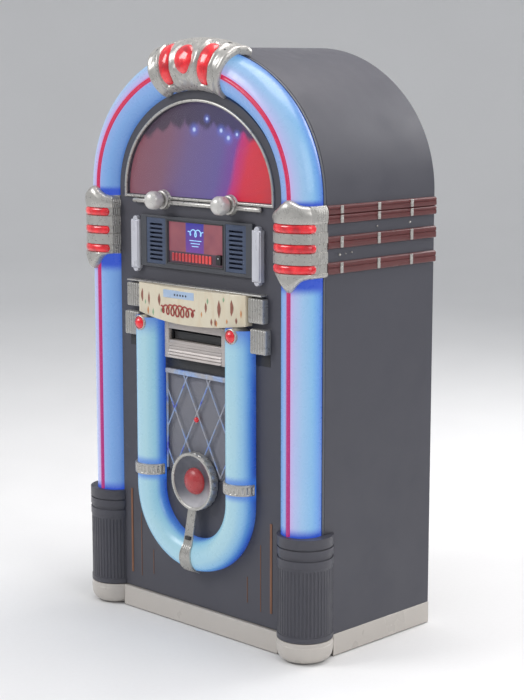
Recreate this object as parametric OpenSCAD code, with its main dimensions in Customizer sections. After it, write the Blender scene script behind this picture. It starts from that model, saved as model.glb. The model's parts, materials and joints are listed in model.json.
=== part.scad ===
// Full-size arched jukebox with a hinged illuminated front, a disc changer and a rear service door.
// Every sub-part is drawn with y = 0 at the face of the front panel, then placed by place().

/* [Cabinet] */
// Outer width of the wooden cabinet
cabinet_w = 776; // [760:2:800]
// Rise of the cabinet's arched top above its straight sides
arch_rise = 353; // [345:1:360]
// Height at which the straight sides end and the arch begins
spring_z = 1107; // [1100:1:1120]
// Thickness of the wooden cabinet walls
wall = 18; // [15:1:21]
// How far behind the panel face the cabinet ends
back_y = 442; // [438:1:460]
// Top of the plinth that the cabinet stands on
plinth_top = 56; // [54:1:60]

/* [Front door] */
// Back plane of the front door
door_back = 42; // [41:0.5:42.5]
// Thickness of the steel plate behind the front panel
backplate_t = 6; // [4:1:6]
// Angle above the springing where the side arcs of the arch meet the top arc
arch_join = 45; // [40:1:50]
// How far behind the panel face the centre of the outer light tube lies
tube_y = 20; // [19:1:21]
// Outer radius of the outer light tube
tube_r = 51; // [50.5:0.1:51]
// Wall thickness of the plastic light tubes
tube_wall = 3; // [2:0.5:4]

/* [Inner U tube] */
// Distance of each leg of the U tube from the centre line
u_x = 161; // [159:1:162]
// Outer radius of the U tube
u_r = 42; // [36:0.5:42]
// Height of the centre of the U tube's bend
u_z = 358; // [355:1:360]
// Height of the upper ends of the U tube
u_top = 790; // [785:1:790]

/* [Pilasters] */
// Radius of the dark sockets that hold the outer tube
pilaster_r = 68.5; // [67:0.5:69]
// Height of the tops of the sockets
pilaster_top = 312; // [305:1:314]

/* [Details] */
// Radius of the horn below the lattice
horn_r = 74; // [66:1:75]
// Height of the horn's centre
horn_z = 387; // [386:1:392]
// Number of discs in the changer
disc_count = 24; // [12:1:28]
// Travel of the two red selector buttons
button_travel = 4; // [2:0.5:5]

/* [Hidden] */
$fn = 96;

// The overall depth runs from the knob faces to the rear hinge barrels.
knob_face = -58;
rear_barrel_r = 5;
rear_axis_y = back_y + rear_barrel_r;
depth_mid = (knob_face + rear_axis_y + rear_barrel_r) / 2;

half_w = cabinet_w / 2;
inner_w = half_w - wall;
// Three-centred arch: two side arcs and one top arc, all concentric for any inward offset.
arch_k = (half_w - arch_rise) / (cos(arch_join) + sin(arch_join) - 1);
side_r = arch_rise - arch_k * (1 - sin(arch_join));
top_r = side_r + arch_k;
side_cx = half_w - side_r;
top_cz = spring_z + arch_rise - top_r;

clear = 0.4;
fit = 0.05;
door_bottom = plinth_top + 2;
cabinet_front = door_back + 1;
plate_y = door_back - backplate_t;
tube_back = plate_y - 0.5;
tube_x = half_w - tube_r;
bubble_r = 5.5;
bubble_y = tube_y - tube_r + 3;
tube_foot = pilaster_top - 16;
panel_off = 2 * tube_r + 0.6;
panel_x = half_w - panel_off;
pilaster_x = 344;
pilaster_y = 24;
foot_r = pilaster_r + 0.5;
foot_top = 45;
ground_gap = 2;

// Window in the front panel
trim_off = 124;
glass_off = 131.5;
window_z = 1094;
sill_z = 1080;
knob_x = 118;
knob_z = 1086;
knob_r = 23;
boss_r = 25;
shaft_r = 6;

// Display unit
bezel_w = 396;
bezel_z = [916, 1046];
screen_w = 194;
screen_z = [932, 1034];
louvre_x = [107, 177];
louvre_z = [924, 1040];
key_x = 84;
key_z = 950;
key_size = [16, 24];

// Title panel, end blocks and coin unit
title_w = 382;
title_z = [785, 800, 875];
title_y = [-42, -24];
button_x = 163;
button_z = 776;
button_r = 15;
cup_r = 19;
cup_y = -47;
coin_w = 220;
coin_z = [690, 784];
slot_w = 176;
flap_z = 757;
flap_y = 5;

// Lattice and grille
grille_w = 224;
grille_z = [396, 660];
lattice_step = [41, 77];
lattice_z = 560;
strand_r = 2;

// Front door hinge, on the left
hinge_axis = [-half_w - 14, 80];
hinge_r = 7;
hinge_pin_r = 3.5;
hinge_zs = [345, 600, 855];
hinge_h = 58;

// Rear door
rear_door_z = [92, 1094];
rear_door_t = 12;
rear_door_y = back_y - 2 - rear_door_t;
rear_axis_x = -inner_w + 1;
rear_hinge_zs = [180, 560, 960];
lock_x = 340;
lock_z = 600;

// Disc changer
shelf_z = 560;
base_z = shelf_z + wall + 5;
carousel_c = [-110, 236];
carousel_r = 172;
carousel_z = 612;
disc_r = 60;
disc_t = 1.2;
disc_orbit = 110;
arm_c = [86, 300];
arm_z = 770;
arm_len = 100;
spindle_c = [210, 262, 690];
woofer_z = 430;
woofer_r = 112;

module place() translate([0, -depth_mid, 0]) children();

// Extrudes a drawing made in the XZ plane from y0 to y1.
module slab(y0, y1) translate([0, y1, 0]) rotate([90, 0, 0]) linear_extrude(y1 - y0) children();

// A box given by its lowest and highest corners.
module span(a, b) translate(a) cube([b[0] - a[0], b[1] - a[1], b[2] - a[2]]);

// The same shape on the right and mirrored on the left.
module both() {
    children();
    mirror([1, 0, 0]) children();
}

// A round bar along Y from y0 to y1.
module bar_y(x, z, r, y0, y1) translate([x, y1, z]) rotate([90, 0, 0]) cylinder(r = r, h = y1 - y0);

// The cabinet's outline, moved inwards by off, with its bottom at z0.
module arch_2d(off, z0) {
    r1 = side_r - off;
    r2 = top_r - off;
    zj = r1 * sin(arch_join);
    hw = half_w - off;
    union() {
        translate([-hw, z0]) square([2 * hw, spring_z - z0]);
        for (s = [0, 1]) mirror([s, 0]) intersection() {
            translate([side_cx, spring_z]) circle(r = r1);
            translate([0, spring_z]) square([hw, zj]);
        }
        intersection() {
            translate([0, top_cz]) circle(r = r2);
            translate([-hw, spring_z + zj]) square([2 * hw, r2]);
        }
    }
}

// Sweeps a section (x outwards, y towards the front) along the right half of the arch.
module arch_sweep(off, top_gap) {
    translate([side_cx, 0, spring_z]) rotate([90, 0, 0])
        rotate_extrude(angle = arch_join - 0.06) translate([side_r - off, 0]) children();
    translate([0, 0, top_cz]) rotate([90, 0, 0]) rotate([0, 0, arch_join])
        rotate_extrude(angle = 90 - arch_join - top_gap) translate([top_r - off, 0]) children();
}

// Sweeps a section along the crown of the arch, a0 to a1 degrees from the vertical.
module crown_sweep(a0, a1) translate([0, 0, top_cz]) rotate([90, 0, 0]) rotate([0, 0, 90 - a1])
    rotate_extrude(angle = a1 - a0) translate([top_r - tube_r, 0]) children();

// ---------- cabinet ----------

module cabinet_shell() color([0.10, 0.10, 0.12]) slab(cabinet_front, back_y) difference() {
    arch_2d(0, plinth_top);
    arch_2d(wall, plinth_top - 1);
}

module foot_space(extra) for (s = [-1, 1])
    translate([s * pilaster_x, pilaster_y, -1]) cylinder(r = foot_r + extra, h = plinth_top + 5);

module plinth() color([0.80, 0.78, 0.74]) difference() {
    union() {
        span([-300, -8, ground_gap], [300, 10, plinth_top]);
        both() span([inner_w + 2, 60, ground_gap], [half_w + 2, back_y, plinth_top]);
        span([-inner_w - 2, back_y - 18, ground_gap], [inner_w + 2, back_y, plinth_top]);
    }
    foot_space(clear);
    span([279, back_y - 30, 15], [321, back_y + 1, 38]);
}

module foot() translate([pilaster_x, pilaster_y, 0]) union() {
    rotate_extrude() union() {
        translate([0, ground_gap]) square([foot_r - 19, foot_top - ground_gap]);
        translate([0, ground_gap + 19]) square([foot_r, foot_top - ground_gap - 19]);
        translate([foot_r - 19, ground_gap + 19]) intersection() {
            circle(r = 19);
            translate([0, -19]) square([19, 19]);
        }
    }
    translate([0, 0, foot_top]) cylinder(r = pilaster_r, h = plinth_top - foot_top);
}

module front_feet() color([0.80, 0.78, 0.74]) both() foot();

module floor_board() color([0.55, 0.42, 0.28]) difference() {
    union() {
        span([-272, 10, plinth_top - 18], [272, 120, plinth_top]);
        span([-inner_w, 100, plinth_top - 18], [inner_w, back_y - 18, plinth_top]);
    }
    foot_space(clear);
}

module levelling_glides() color([0.2, 0.2, 0.2])
    for (p = [[-240, 40], [240, 40], [-330, 400], [330, 400]]) translate(p) union() {
        cylinder(r = 18, h = 6);
        translate([0, 0, 6]) cylinder(r = 5, h = plinth_top - 18 - 6);
    }

module back_frame() color([0.12, 0.12, 0.13]) union() {
    span([-inner_w + 0.2, back_y - 18, plinth_top], [inner_w - 0.2, back_y - 1, 90]);
    slab(back_y - 13, back_y - 1) arch_2d(wall + 0.2, rear_door_z[1] + 2);
    span([-inner_w + 0.2, back_y - 34, 1080], [inner_w - 0.2, back_y - 15, 1120]);
    span([-inner_w + 0.2, back_y - 20, 1100], [inner_w - 0.2, back_y - 12, 1120]);
}

// Each band's lowest and highest edge; the top band is a pair.
band_zs = [[1054, 1075], [1076, 1097], [996, 1025], [936, 964]];

module band_section(z0, z1) polygon([
    [0, z0], [5, z0], [7, z0 + 3], [7, z1 - 5], [3, z1], [0, z1]
]);

module side_bands() color([0.36, 0.13, 0.12]) both() for (b = band_zs)
    translate([half_w, 0, 0]) slab(cabinet_front + 0.5, back_y - 1) band_section(b[0], b[1]);

module stud(y, z, h) translate([half_w + 7, y, z]) rotate([0, 90, 0]) linear_extrude(3.5) union() {
    translate([-h / 2 + 4, -4]) square([h - 8, 8]);
    for (s = [-1, 1]) translate([s * (h / 2 - 4), 0]) circle(r = 4);
}

module band_studs() color([0.78, 0.78, 0.80]) both() for (y = [90, 223, 345], b = band_zs)
    stud(y, (b[0] + b[1]) / 2 - 1, b[1] - b[0] - 8);

module mech_shelf() color([0.55, 0.42, 0.28])
    span([-inner_w, 54, shelf_z], [inner_w, back_y - 40, shelf_z + wall]);

module speaker_baffle() color([0.15, 0.15, 0.15]) difference() {
    span([-inner_w, 100, plinth_top], [inner_w, 116, shelf_z]);
    bar_y(0, woofer_z, woofer_r, 99, 117);
}

// A dish revolved about a line along Y; its section is drawn as (radius, depth behind y0).
module dish(x, y0, z) translate([x, y0, z]) rotate([-90, 0, 0]) rotate_extrude() children();

module woofer_frame() color([0.22, 0.22, 0.24]) union() {
    dish(0, 94, woofer_z) difference() {
        square([126, 6]);
        translate([0, -1]) square([104, 8]);
    }
    dish(0, 99, woofer_z) polygon([[108, 0], [111, 0], [111, 8], [62, 66], [58, 66], [58, 62], [108, 4]]);
    dish(0, 160, woofer_z) square([60, 30]);
}

module woofer_cone() color([0.10, 0.10, 0.10]) dish(0, 96, woofer_z)
    polygon([[0, 34], [30, 44], [92, 2], [103, 0], [103, 2], [94, 5], [34, 50], [30, 50], [0, 38]]);

module amplifier() color([0.30, 0.31, 0.33]) union() {
    span([-340, 230, plinth_top], [-120, 390, plinth_top + 60]);
    for (i = [0:9]) translate([-330 + i * 12, 300, plinth_top + 60]) cube([4, 80, 34]);
    for (x = [-190, -150]) translate([x, 340, plinth_top + 60]) cylinder(r = 16, h = 40);
}

module power_supply() color([0.36, 0.36, 0.38]) union() {
    span([130, 250, plinth_top], [320, 390, plinth_top + 14]);
    span([150, 270, plinth_top + 14], [240, 370, plinth_top + 90]);
    for (x = [265, 300], y = [290, 340]) translate([x, y, plinth_top + 14]) cylinder(r = 13, h = 48);
}

module mains_inlet() color([0.12, 0.12, 0.12]) union() {
    difference() {
        union() {
            span([272, back_y, 12], [328, back_y + 3, 46]);
            span([280, back_y - 22, 16], [320, back_y, 37.5]);
        }
        span([285, back_y - 16, 19], [315, back_y + 4, 35]);
    }
    for (x = [292, 300, 308]) span([x - 1, back_y - 17, 25], [x + 1, back_y - 2, 29]);
}

module front_hinge_halves() for (z = hinge_zs) union() {
    translate([hinge_axis[0], hinge_axis[1], z]) cylinder(r = hinge_r, h = hinge_h / 2);
    translate([hinge_axis[0], hinge_axis[1], z]) cylinder(r = hinge_pin_r, h = hinge_h);
    span([hinge_axis[0], hinge_axis[1], z], [-half_w, hinge_axis[1] + 5, z + hinge_h / 2]);
    span([-half_w - 3, hinge_axis[1], z], [-half_w, hinge_axis[1] + 45, z + hinge_h / 2]);
}

// ---------- disc changer ----------

module changer_base() color([0.62, 0.63, 0.66]) union() {
    span([-320, 66, shelf_z + wall], [330, back_y - 46, base_z]);
    translate([carousel_c[0], carousel_c[1], base_z]) cylinder(r = 26, h = carousel_z - base_z - 1);
    translate([carousel_c[0], carousel_c[1], base_z]) cylinder(r = 8, h = 90);
    translate([arm_c[0], arm_c[1], base_z]) cylinder(r = 12, h = arm_z - base_z - 1);
    translate([arm_c[0], arm_c[1], base_z]) cylinder(r = 5, h = arm_z - base_z + 24);
    span([-310, 360, base_z], [-250, 394, base_z + 60]);
}

module disc_slots() for (i = [0:disc_count - 1]) rotate([0, 0, i * 360 / disc_count])
    translate([48, -1.1, 9]) cube([124, 2.2, 60]);

module disc_carousel() color([0.20, 0.20, 0.22])
    translate([carousel_c[0], carousel_c[1], carousel_z]) difference() {
        union() {
            cylinder(r = carousel_r, h = 6);
            cylinder(r = 30, h = 56);
            for (r = [78, 136]) difference() {
                cylinder(r = r + 6, h = 44);
                translate([0, 0, -1]) cylinder(r = r, h = 46);
            }
        }
        translate([0, 0, -1]) cylinder(r = 8 + fit, h = 60);
        disc_slots();
    }

module discs() color([0.75, 0.76, 0.80]) translate([carousel_c[0], carousel_c[1], carousel_z + 10 + disc_r])
    for (i = [0:disc_count - 1]) rotate([0, 0, i * 360 / disc_count])
        translate([disc_orbit, disc_t / 2, 0]) rotate([90, 0, 0]) difference() {
            cylinder(r = disc_r, h = disc_t);
            translate([0, 0, -1]) cylinder(r = 7.5, h = disc_t + 2);
        }

module transfer_arm() color([0.70, 0.70, 0.72]) translate([arm_c[0], arm_c[1], arm_z]) difference() {
    union() {
        cylinder(r = 16, h = 20);
        span([-8, -arm_len, 4], [8, 0, 12]);
        span([-13, -arm_len - 12, 0], [13, -arm_len + 6, 16]);
        for (x = [-11, 7]) span([x, -arm_len - 10, -14], [x + 4, -arm_len + 4, 1]);
    }
    translate([0, 0, -1]) cylinder(r = 5 + fit, h = 30);
}

module disc_player() color([0.26, 0.27, 0.30]) difference() {
    union() {
        span([115, 165, base_z], [315, 325, base_z + 40]);
        span([150, spindle_c[1], base_z + 40], [270, spindle_c[1] + 12, spindle_c[2] + 50]);
        span([235, 215, base_z + 40], [255, 228, spindle_c[2] + 8]);
        bar_y(245, spindle_c[2], 5, 228, 238);
    }
    bar_y(spindle_c[0], spindle_c[2], shaft_r + fit, spindle_c[1] - 1, spindle_c[1] + 13);
}

module disc_spindle() color([0.80, 0.80, 0.82]) union() {
    bar_y(spindle_c[0], spindle_c[2], shaft_r, spindle_c[1] - 10, spindle_c[1] + 18);
    bar_y(spindle_c[0], spindle_c[2], 16, spindle_c[1] - 8, spindle_c[1] - 3);
    bar_y(spindle_c[0], spindle_c[2], 14, spindle_c[1] + 14, spindle_c[1] + 18);
}

// ---------- rear door ----------

module rear_door() color([0.13, 0.13, 0.14]) union() {
    difference() {
        span([-inner_w + 2, rear_door_y, rear_door_z[0]], [inner_w - 2, back_y - 2, rear_door_z[1]]);
        for (z0 = [190, 820], i = [0:7])
            span([-130, rear_door_y - 1, z0 + i * 18], [130, back_y, z0 + i * 18 + 8]);
        bar_y(lock_x, lock_z, 10.1, rear_door_y - 1, back_y);
    }
    for (z = rear_hinge_zs) difference() {
        union() {
            translate([rear_axis_x, rear_axis_y, z + 25.5]) cylinder(r = rear_barrel_r, h = 24);
            span([rear_axis_x, rear_axis_y - 5, z + 25.5], [rear_axis_x + 34, rear_axis_y - 3, z + 49.5]);
            span([rear_axis_x + 6, back_y - 3, z + 25.5], [rear_axis_x + 34, rear_axis_y - 4, z + 49.5]);
        }
        translate([rear_axis_x, rear_axis_y, z]) cylinder(r = 2.5 + fit, h = 60);
    }
}

module rear_hinge_halves() for (z = rear_hinge_zs) union() {
    translate([rear_axis_x, rear_axis_y, z]) cylinder(r = rear_barrel_r, h = 25);
    translate([rear_axis_x, rear_axis_y, z]) cylinder(r = 2.5, h = 49);
    span([-half_w + 4, back_y, z], [rear_axis_x, back_y + 2, z + 25]);
}

module cabinet_hinges() color([0.55, 0.55, 0.57]) {
    front_hinge_halves();
    rear_hinge_halves();
}

module rear_lock() color([0.75, 0.75, 0.76]) difference() {
    union() {
        bar_y(lock_x, lock_z, 10, rear_door_y - 4, back_y - 2);
        bar_y(lock_x, lock_z, 13, back_y - 1.8, back_y + 3);
        span([lock_x - 8, rear_door_y - 7, lock_z - 8], [lock_x + 8, rear_door_y - 3, lock_z + 34]);
    }
    span([lock_x - 1, back_y - 6, lock_z - 5], [lock_x + 1, back_y + 4, lock_z + 5]);
}

// ---------- front door: structure ----------

module knob_holes(r) for (s = [-1, 1]) bar_y(s * knob_x, knob_z, r, -1, door_back + 1);

module door_backplate() color([0.18, 0.18, 0.19]) difference() {
    slab(plate_y, door_back) difference() {
        arch_2d(0.6, door_bottom);
        arch_2d(glass_off + 8, window_z + 18);
        translate([-180, 926]) square([360, 110]);
        translate([-96, 704]) square([192, 70]);
        translate([-104, 404]) square([208, 248]);
    }
    knob_holes(shaft_r + 2);
}

module front_panel() color([0.11, 0.11, 0.13]) difference() {
    slab(0, plate_y) difference() {
        arch_2d(panel_off, door_bottom);
        arch_2d(glass_off, window_z + 1);
        translate([-190, 921]) square([380, 121]);
        translate([-104, coin_z[0] + 6]) square([208, coin_z[1] - coin_z[0] - 10]);
        translate([-grille_w / 2, grille_z[0]]) square([grille_w, grille_z[1] - grille_z[0] - 8]);
    }
    knob_holes(shaft_r + fit);
}

module outer_section() difference() {
    union() {
        difference() {
            translate([0, -tube_y]) circle(r = tube_r);
            translate([0, -tube_y]) circle(r = tube_r - tube_wall);
        }
        intersection() {
            translate([0, -tube_y]) circle(r = tube_r - 0.5);
            translate([0, -bubble_y]) circle(r = bubble_r + 3);
        }
    }
    translate([0, -bubble_y]) circle(r = bubble_r + 0.2);
    translate([-60, -tube_back - 60]) square([120, 60]);
}

// A straight leg of a section that is swept along the arch, on the right.
module leg(z0, z1) translate([tube_x, 0, z0]) linear_extrude(z1 - z0) mirror([0, 1]) children();

module outer_tubes() color([0.50, 0.72, 0.95]) both() {
    leg(tube_foot, spring_z - 0.3) outer_section();
    arch_sweep(tube_r, 0.2) outer_section();
}

module bubble_section() translate([0, -bubble_y]) circle(r = bubble_r);

module bubble_tubes() color([0.85, 0.10, 0.30]) both() {
    leg(pilaster_top + clear, spring_z - 0.3) bubble_section();
    arch_sweep(tube_r, 0.2) bubble_section();
}

module pilaster() difference() {
    intersection() {
        translate([pilaster_x, pilaster_y, 0]) rotate_extrude() union() {
            translate([0, door_bottom]) square([pilaster_r - 1.5, 182]);
            translate([0, door_bottom]) square([pilaster_r, 12]);
            translate([0, 239]) square([pilaster_r - 3, pilaster_top - 239]);
            for (z = [240, 266]) translate([0, z]) square([pilaster_r, 18]);
            translate([0, 288]) square([pilaster_r, pilaster_top - 288]);
        }
        union() {
            span([250, -60, door_bottom], [420, -0.2, pilaster_top]);
            span([panel_x + 0.4, -1, door_bottom], [420, plate_y - 0.1, pilaster_top]);
            span([half_w + 1.6, plate_y - 1, door_bottom], [420, 100, pilaster_top]);
        }
    }
    translate([pilaster_x, pilaster_y, door_bottom + 8]) cylinder(r = 56, h = 210);
    translate([tube_x, tube_y, tube_foot - 2]) cylinder(r = tube_r + clear, h = 60);
    for (a = [-172:8:44]) translate([pilaster_x, pilaster_y, door_bottom + 15])
        rotate([0, 0, a]) translate([pilaster_r - 0.9, 0, 0]) cylinder(r = 2.2, h = 160);
}

module pilaster_left() color([0.13, 0.13, 0.14]) mirror([1, 0, 0]) pilaster();
module pilaster_right() color([0.13, 0.13, 0.14]) pilaster();

// ---------- front door: castings ----------

casting_r = 71;
casting_out = half_w + 8;
insert_zs = [[942, 963], [990, 1011], [1036, 1057]];

module casting_space(r) translate([0, 0, 890]) linear_extrude(230) union() {
    translate([tube_x, tube_y]) circle(r = r);
    translate([tube_x, bubble_y]) circle(r = bubble_r + clear);
}

// The red bars wrap the casting from its outer flank round the front.
module insert_ring(z0, z1, extra) intersection() {
    translate([tube_x, tube_y, z0 - extra]) difference() {
        cylinder(r = casting_r + 3, h = z1 - z0 + 2 * extra);
        translate([0, 0, -1]) cylinder(r = casting_r - 8 - extra, h = z1 - z0 + 2);
    }
    translate([0, 0, 900]) linear_extrude(200) polygon([
        [tube_x - 46 - extra, tube_y - 58], [tube_x - 70 - extra, tube_y - 88],
        [casting_out + 2, tube_y - 88], [casting_out + 2, 4 + extra], [casting_out - 8 - extra, 4 + extra],
        [casting_out - 8 - extra, -12], [tube_x, tube_y]
    ]);
}

module side_casting() difference() {
    intersection() {
        translate([tube_x, tube_y, 890]) cylinder(r = casting_r, h = 230);
        union() {
            span([panel_x + 0.5, -60, 890], [half_w + 0.2, plate_y - 0.4, 1120]);
            span([half_w + 0.2, -60, 890], [casting_out, door_back, 1120]);
        }
        slab(-60, door_back) polygon([
            [284, 942], [300, 940], [314, 930], [330, 911], [342, 899], [348, 897], [354, 899], [366, 910],
            [380, 924], [398, 930], [398, 1098], [380, 1100], [364, 1108], [348, 1112], [332, 1107],
            [316, 1097], [300, 1090], [284, 1088]
        ]);
    }
    casting_space(tube_r + clear);
    for (z = insert_zs) insert_ring(z[0], z[1], 0.3);
    for (y = [12, 20, 28, 36]) translate([casting_out, y, 890]) cylinder(r = 1.5, h = 230);
    for (y = [-26, -18, -10]) translate([panel_x, y, 890]) cylinder(r = 1.8, h = 230);
}

module side_casting_left() color([0.66, 0.66, 0.65]) mirror([1, 0, 0]) side_casting();
module side_casting_right() color([0.66, 0.66, 0.65]) side_casting();

crown_a = 19.6;
crown_c = [8, -20];
crown_r = 68;

// Keeps a crown section off the front panel's edge.
module behind_panel_face() translate([-80, -100]) square([80 - panel_off + tube_r + 0.4, 100.3]);

module crown_section() difference() {
    intersection() {
        translate(crown_c) circle(r = crown_r);
        union() {
            translate([-80, -plate_y + 0.4]) square([160, 120]);
            translate([tube_r + 2.5, -55]) square([60, 60]);
        }
        polygon([[-80, -60], [-80, 60], [90, 60], [90, -10], [64, -60]]);
    }
    behind_panel_face();
    translate([0, -tube_y]) circle(r = tube_r + clear);
    translate([0, -bubble_y]) circle(r = bubble_r + clear);
}

module crown_bar_section(extra) difference() {
    intersection() {
        translate(crown_c) circle(r = crown_r + 2);
        polygon([crown_c, [-90, -10 - extra], [-90, 90], [110, 90], [110, 30 - extra]]);
    }
    translate(crown_c) circle(r = crown_r - 7 - extra);
    behind_panel_face();
}

crown_bars = [[-12.5, -8.4], [8.4, 12.5]];

module crown_jewel(extra) slab(-53, -42 + extra) translate([0, 1418]) polygon([
    [-10 - extra, -38 - extra], [10 + extra, -38 - extra], [20 + extra, -14], [20 + extra, 14],
    [10 + extra, 36 + extra], [-10 - extra, 36 + extra], [-20 - extra, 14], [-20 - extra, -14]
]);

module crown_casting() color([0.66, 0.66, 0.65]) difference() {
    crown_sweep(-crown_a, crown_a) crown_section();
    for (b = crown_bars) crown_sweep(b[0] - 0.1, b[1] + 0.1) crown_bar_section(0.3);
    crown_jewel(0.3);
}

module red_inserts() color([0.80, 0.06, 0.08]) {
    both() for (z = insert_zs) intersection() {
        insert_ring(z[0], z[1], 0);
        span([tube_x - 80, -80, 900], [casting_out + 2, 10, 1120]);
    }
    for (b = crown_bars) crown_sweep(b[0], b[1]) crown_bar_section(0);
    crown_jewel(0);
    dish(0, -31, horn_z) intersection() {
        translate([0, 40]) circle(r = 40);
        square([36, 18.8]);
    }
    translate([0, -6, 543]) sphere(r = 7);
}

// ---------- front door: window and display ----------

module dome_trim() color([0.80, 0.79, 0.76]) union() {
    difference() {
        union() {
            slab(-5, 0) difference() {
                arch_2d(trim_off, window_z - 7);
                arch_2d(trim_off + 7, window_z);
            }
            translate([-224, -7, sill_z]) rotate([0, 90, 0]) cylinder(r = 6, h = 448);
            both() span([212, -7, sill_z - 4], [222, 0, sill_z + 4]);
        }
        for (s = [-1, 1]) bar_y(s * knob_x, knob_z, boss_r + clear, -20, 1);
    }
    for (s = [-1, 1]) difference() {
        bar_y(s * knob_x, knob_z, boss_r, -14, 0);
        bar_y(s * knob_x, knob_z, shaft_r + fit, -15, 1);
    }
}

module dome_glass() color([0.55, 0.50, 0.70, 0.5]) slab(2, 5) arch_2d(glass_off + 0.3, window_z + 1.3);
module dome_backdrop() color([0.35, 0.25, 0.50]) slab(8, 11) arch_2d(glass_off + 0.3, window_z + 1.3);

module knob(s) translate([s * knob_x, 0, knob_z]) rotate([90, 0, 0]) union() {
    rotate_extrude() difference() {
        union() {
            intersection() {
                translate([0, 35]) circle(r = knob_r);
                translate([0, 14.6]) square([knob_r, 60]);
            }
            square([shaft_r, 16]);
        }
        translate([knob_r, 35]) circle(r = 1.5);
        translate([-60, -10]) square([60, 120]);
    }
    translate([0, 0, -30]) cylinder(r = shaft_r, h = 31);
}

module volume_knob() color([0.85, 0.85, 0.84]) knob(-1);
module tone_knob() color([0.85, 0.85, 0.84]) knob(1);

module key_hole(extra) translate([key_x - key_size[0] / 2 - extra, key_z - key_size[1] / 2 - extra])
    square([key_size[0] + 2 * extra, key_size[1] + 2 * extra]);

module display_bezel() color([0.24, 0.25, 0.27]) difference() {
    union() {
        span([-bezel_w / 2, -9, bezel_z[0]], [bezel_w / 2, 0, bezel_z[1]]);
        span([-189, 0, 922], [189, 10, 1041]);
    }
    span([-screen_w / 2, -10, screen_z[0]], [screen_w / 2, 11, screen_z[1]]);
    both() span([louvre_x[0], -10, louvre_z[0]], [louvre_x[1], 11, louvre_z[1]]);
}

module display_screen() color([0.45, 0.20, 0.35]) {
    slab(-5, -1) difference() {
        translate([-screen_w / 2 + 0.3, screen_z[0] + 0.3])
            square([screen_w - 0.6, screen_z[1] - screen_z[0] - 0.6]);
        key_hole(0.6);
    }
    for (i = [0:11]) span([-84 + i * 12, -7, 937], [-76 + i * 12, -5, 957]);
}

module louvres() color([0.22, 0.30, 0.42]) both() difference() {
    span([louvre_x[0] + 0.3, -8, louvre_z[0] + 0.3], [louvre_x[1] - 0.3, 4, louvre_z[1] - 0.3]);
    for (i = [0:8]) span([louvre_x[0] + 12, -9, 933 + i * 11], [louvre_x[1] - 12, 5, 938 + i * 11]);
}

module cancel_key() color([0.05, 0.05, 0.05]) slab(-11, 2) key_hole(0);

module handle_bars() color([0.84, 0.84, 0.86]) both() union() {
    span([201, -13, 908], [231, 0, 1032]);
    span([204, -16, 912], [228, -12, 1028]);
    for (z = [908, 1032]) bar_y(216, z, 9, -12, 0);
}

// ---------- front door: title panel, blocks and coin unit ----------

title_bulge = title_y[1] - title_y[0];
title_arc = (pow(title_w / 2, 2) + pow(title_bulge, 2)) / (2 * title_bulge);
title_drop = title_z[1] - title_z[0];
title_low = (pow(title_w / 2, 2) + pow(title_drop, 2)) / (2 * title_drop);

module title_panel() color([0.90, 0.86, 0.70]) intersection() {
    slab(-60, 0) intersection() {
        translate([-title_w / 2, title_z[0]]) square([title_w, title_z[2] - title_z[0]]);
        translate([0, title_z[0] + title_low]) circle(r = title_low, $fn = 360);
    }
    translate([0, title_y[0] + title_arc, 700]) cylinder(r = title_arc, h = 300, $fn = 360);
}

module ribbed_block(x0, x1, z0, z1, depth) difference() {
    span([x0, -depth, z0], [x1, 0, z1]);
    for (x = [x0 + 8:8:x1 - 6]) translate([x, -depth, z0 - 1]) cylinder(r = 1.6, h = z1 - z0 + 2);
}

module end_blocks() color([0.74, 0.74, 0.73]) {
    both() ribbed_block(193, 243, 810, 870, 20);
    both() difference() {
        ribbed_block(199, 252, 736, 796, 20);
        translate([u_x, -5, 730]) cylinder(r = u_r + clear, h = 72);
    }
    span([-240, -21, title_z[2]], [240, 0, title_z[2] + 4]);
    both() difference() {
        bar_y(button_x, button_z, cup_r, cup_y, 0);
        bar_y(button_x, button_z, button_r + 0.5, cup_y - 1, -8);
    }
}

module button(s) translate([s * button_x, 0, button_z]) rotate([90, 0, 0]) rotate_extrude() intersection() {
    union() {
        square([button_r, 48]);
        translate([0, 39.5]) circle(r = 17.2);
    }
    translate([0, 8 + button_travel + 1]) square([button_r, 60]);
}

module button_left() color([0.80, 0.05, 0.08]) button(-1);
module button_right() color([0.80, 0.05, 0.08]) button(1);

module coin_housing() color([0.68, 0.67, 0.66]) difference() {
    union() {
        span([-coin_w / 2, -10, coin_z[0]], [coin_w / 2, 0, coin_z[1]]);
        span([-103, 0, coin_z[0] + 7], [103, plate_y - 1, coin_z[1] - 5]);
        for (i = [0:4]) span([-90, -13, 697 + i * 8], [90, -10, 701 + i * 8]);
    }
    span([-slot_w / 2, -11, 737], [slot_w / 2, plate_y - 3, flap_z + 3]);
    span([-slot_w / 2, -11, flap_z + 2], [slot_w / 2, 8, 776]);
    translate([-slot_w / 2 - 4, flap_y, flap_z]) rotate([0, 90, 0]) cylinder(r = 2 + fit, h = slot_w + 8);
}

module return_flap() color([0.16, 0.16, 0.17]) union() {
    translate([-slot_w / 2 - 3.5, flap_y, flap_z]) rotate([0, 90, 0]) cylinder(r = 2, h = slot_w + 7);
    span([-slot_w / 2 + 1, flap_y - 1.5, 739], [slot_w / 2 - 1, flap_y + 1.5, flap_z]);
}

// ---------- front door: U tube, lattice and horn ----------

module u_section() intersection() {
    difference() {
        translate([0, 5]) circle(r = u_r);
        translate([0, 5]) circle(r = u_r - tube_wall);
    }
    translate([-60, 0.3]) square([120, 60]);
}

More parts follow.
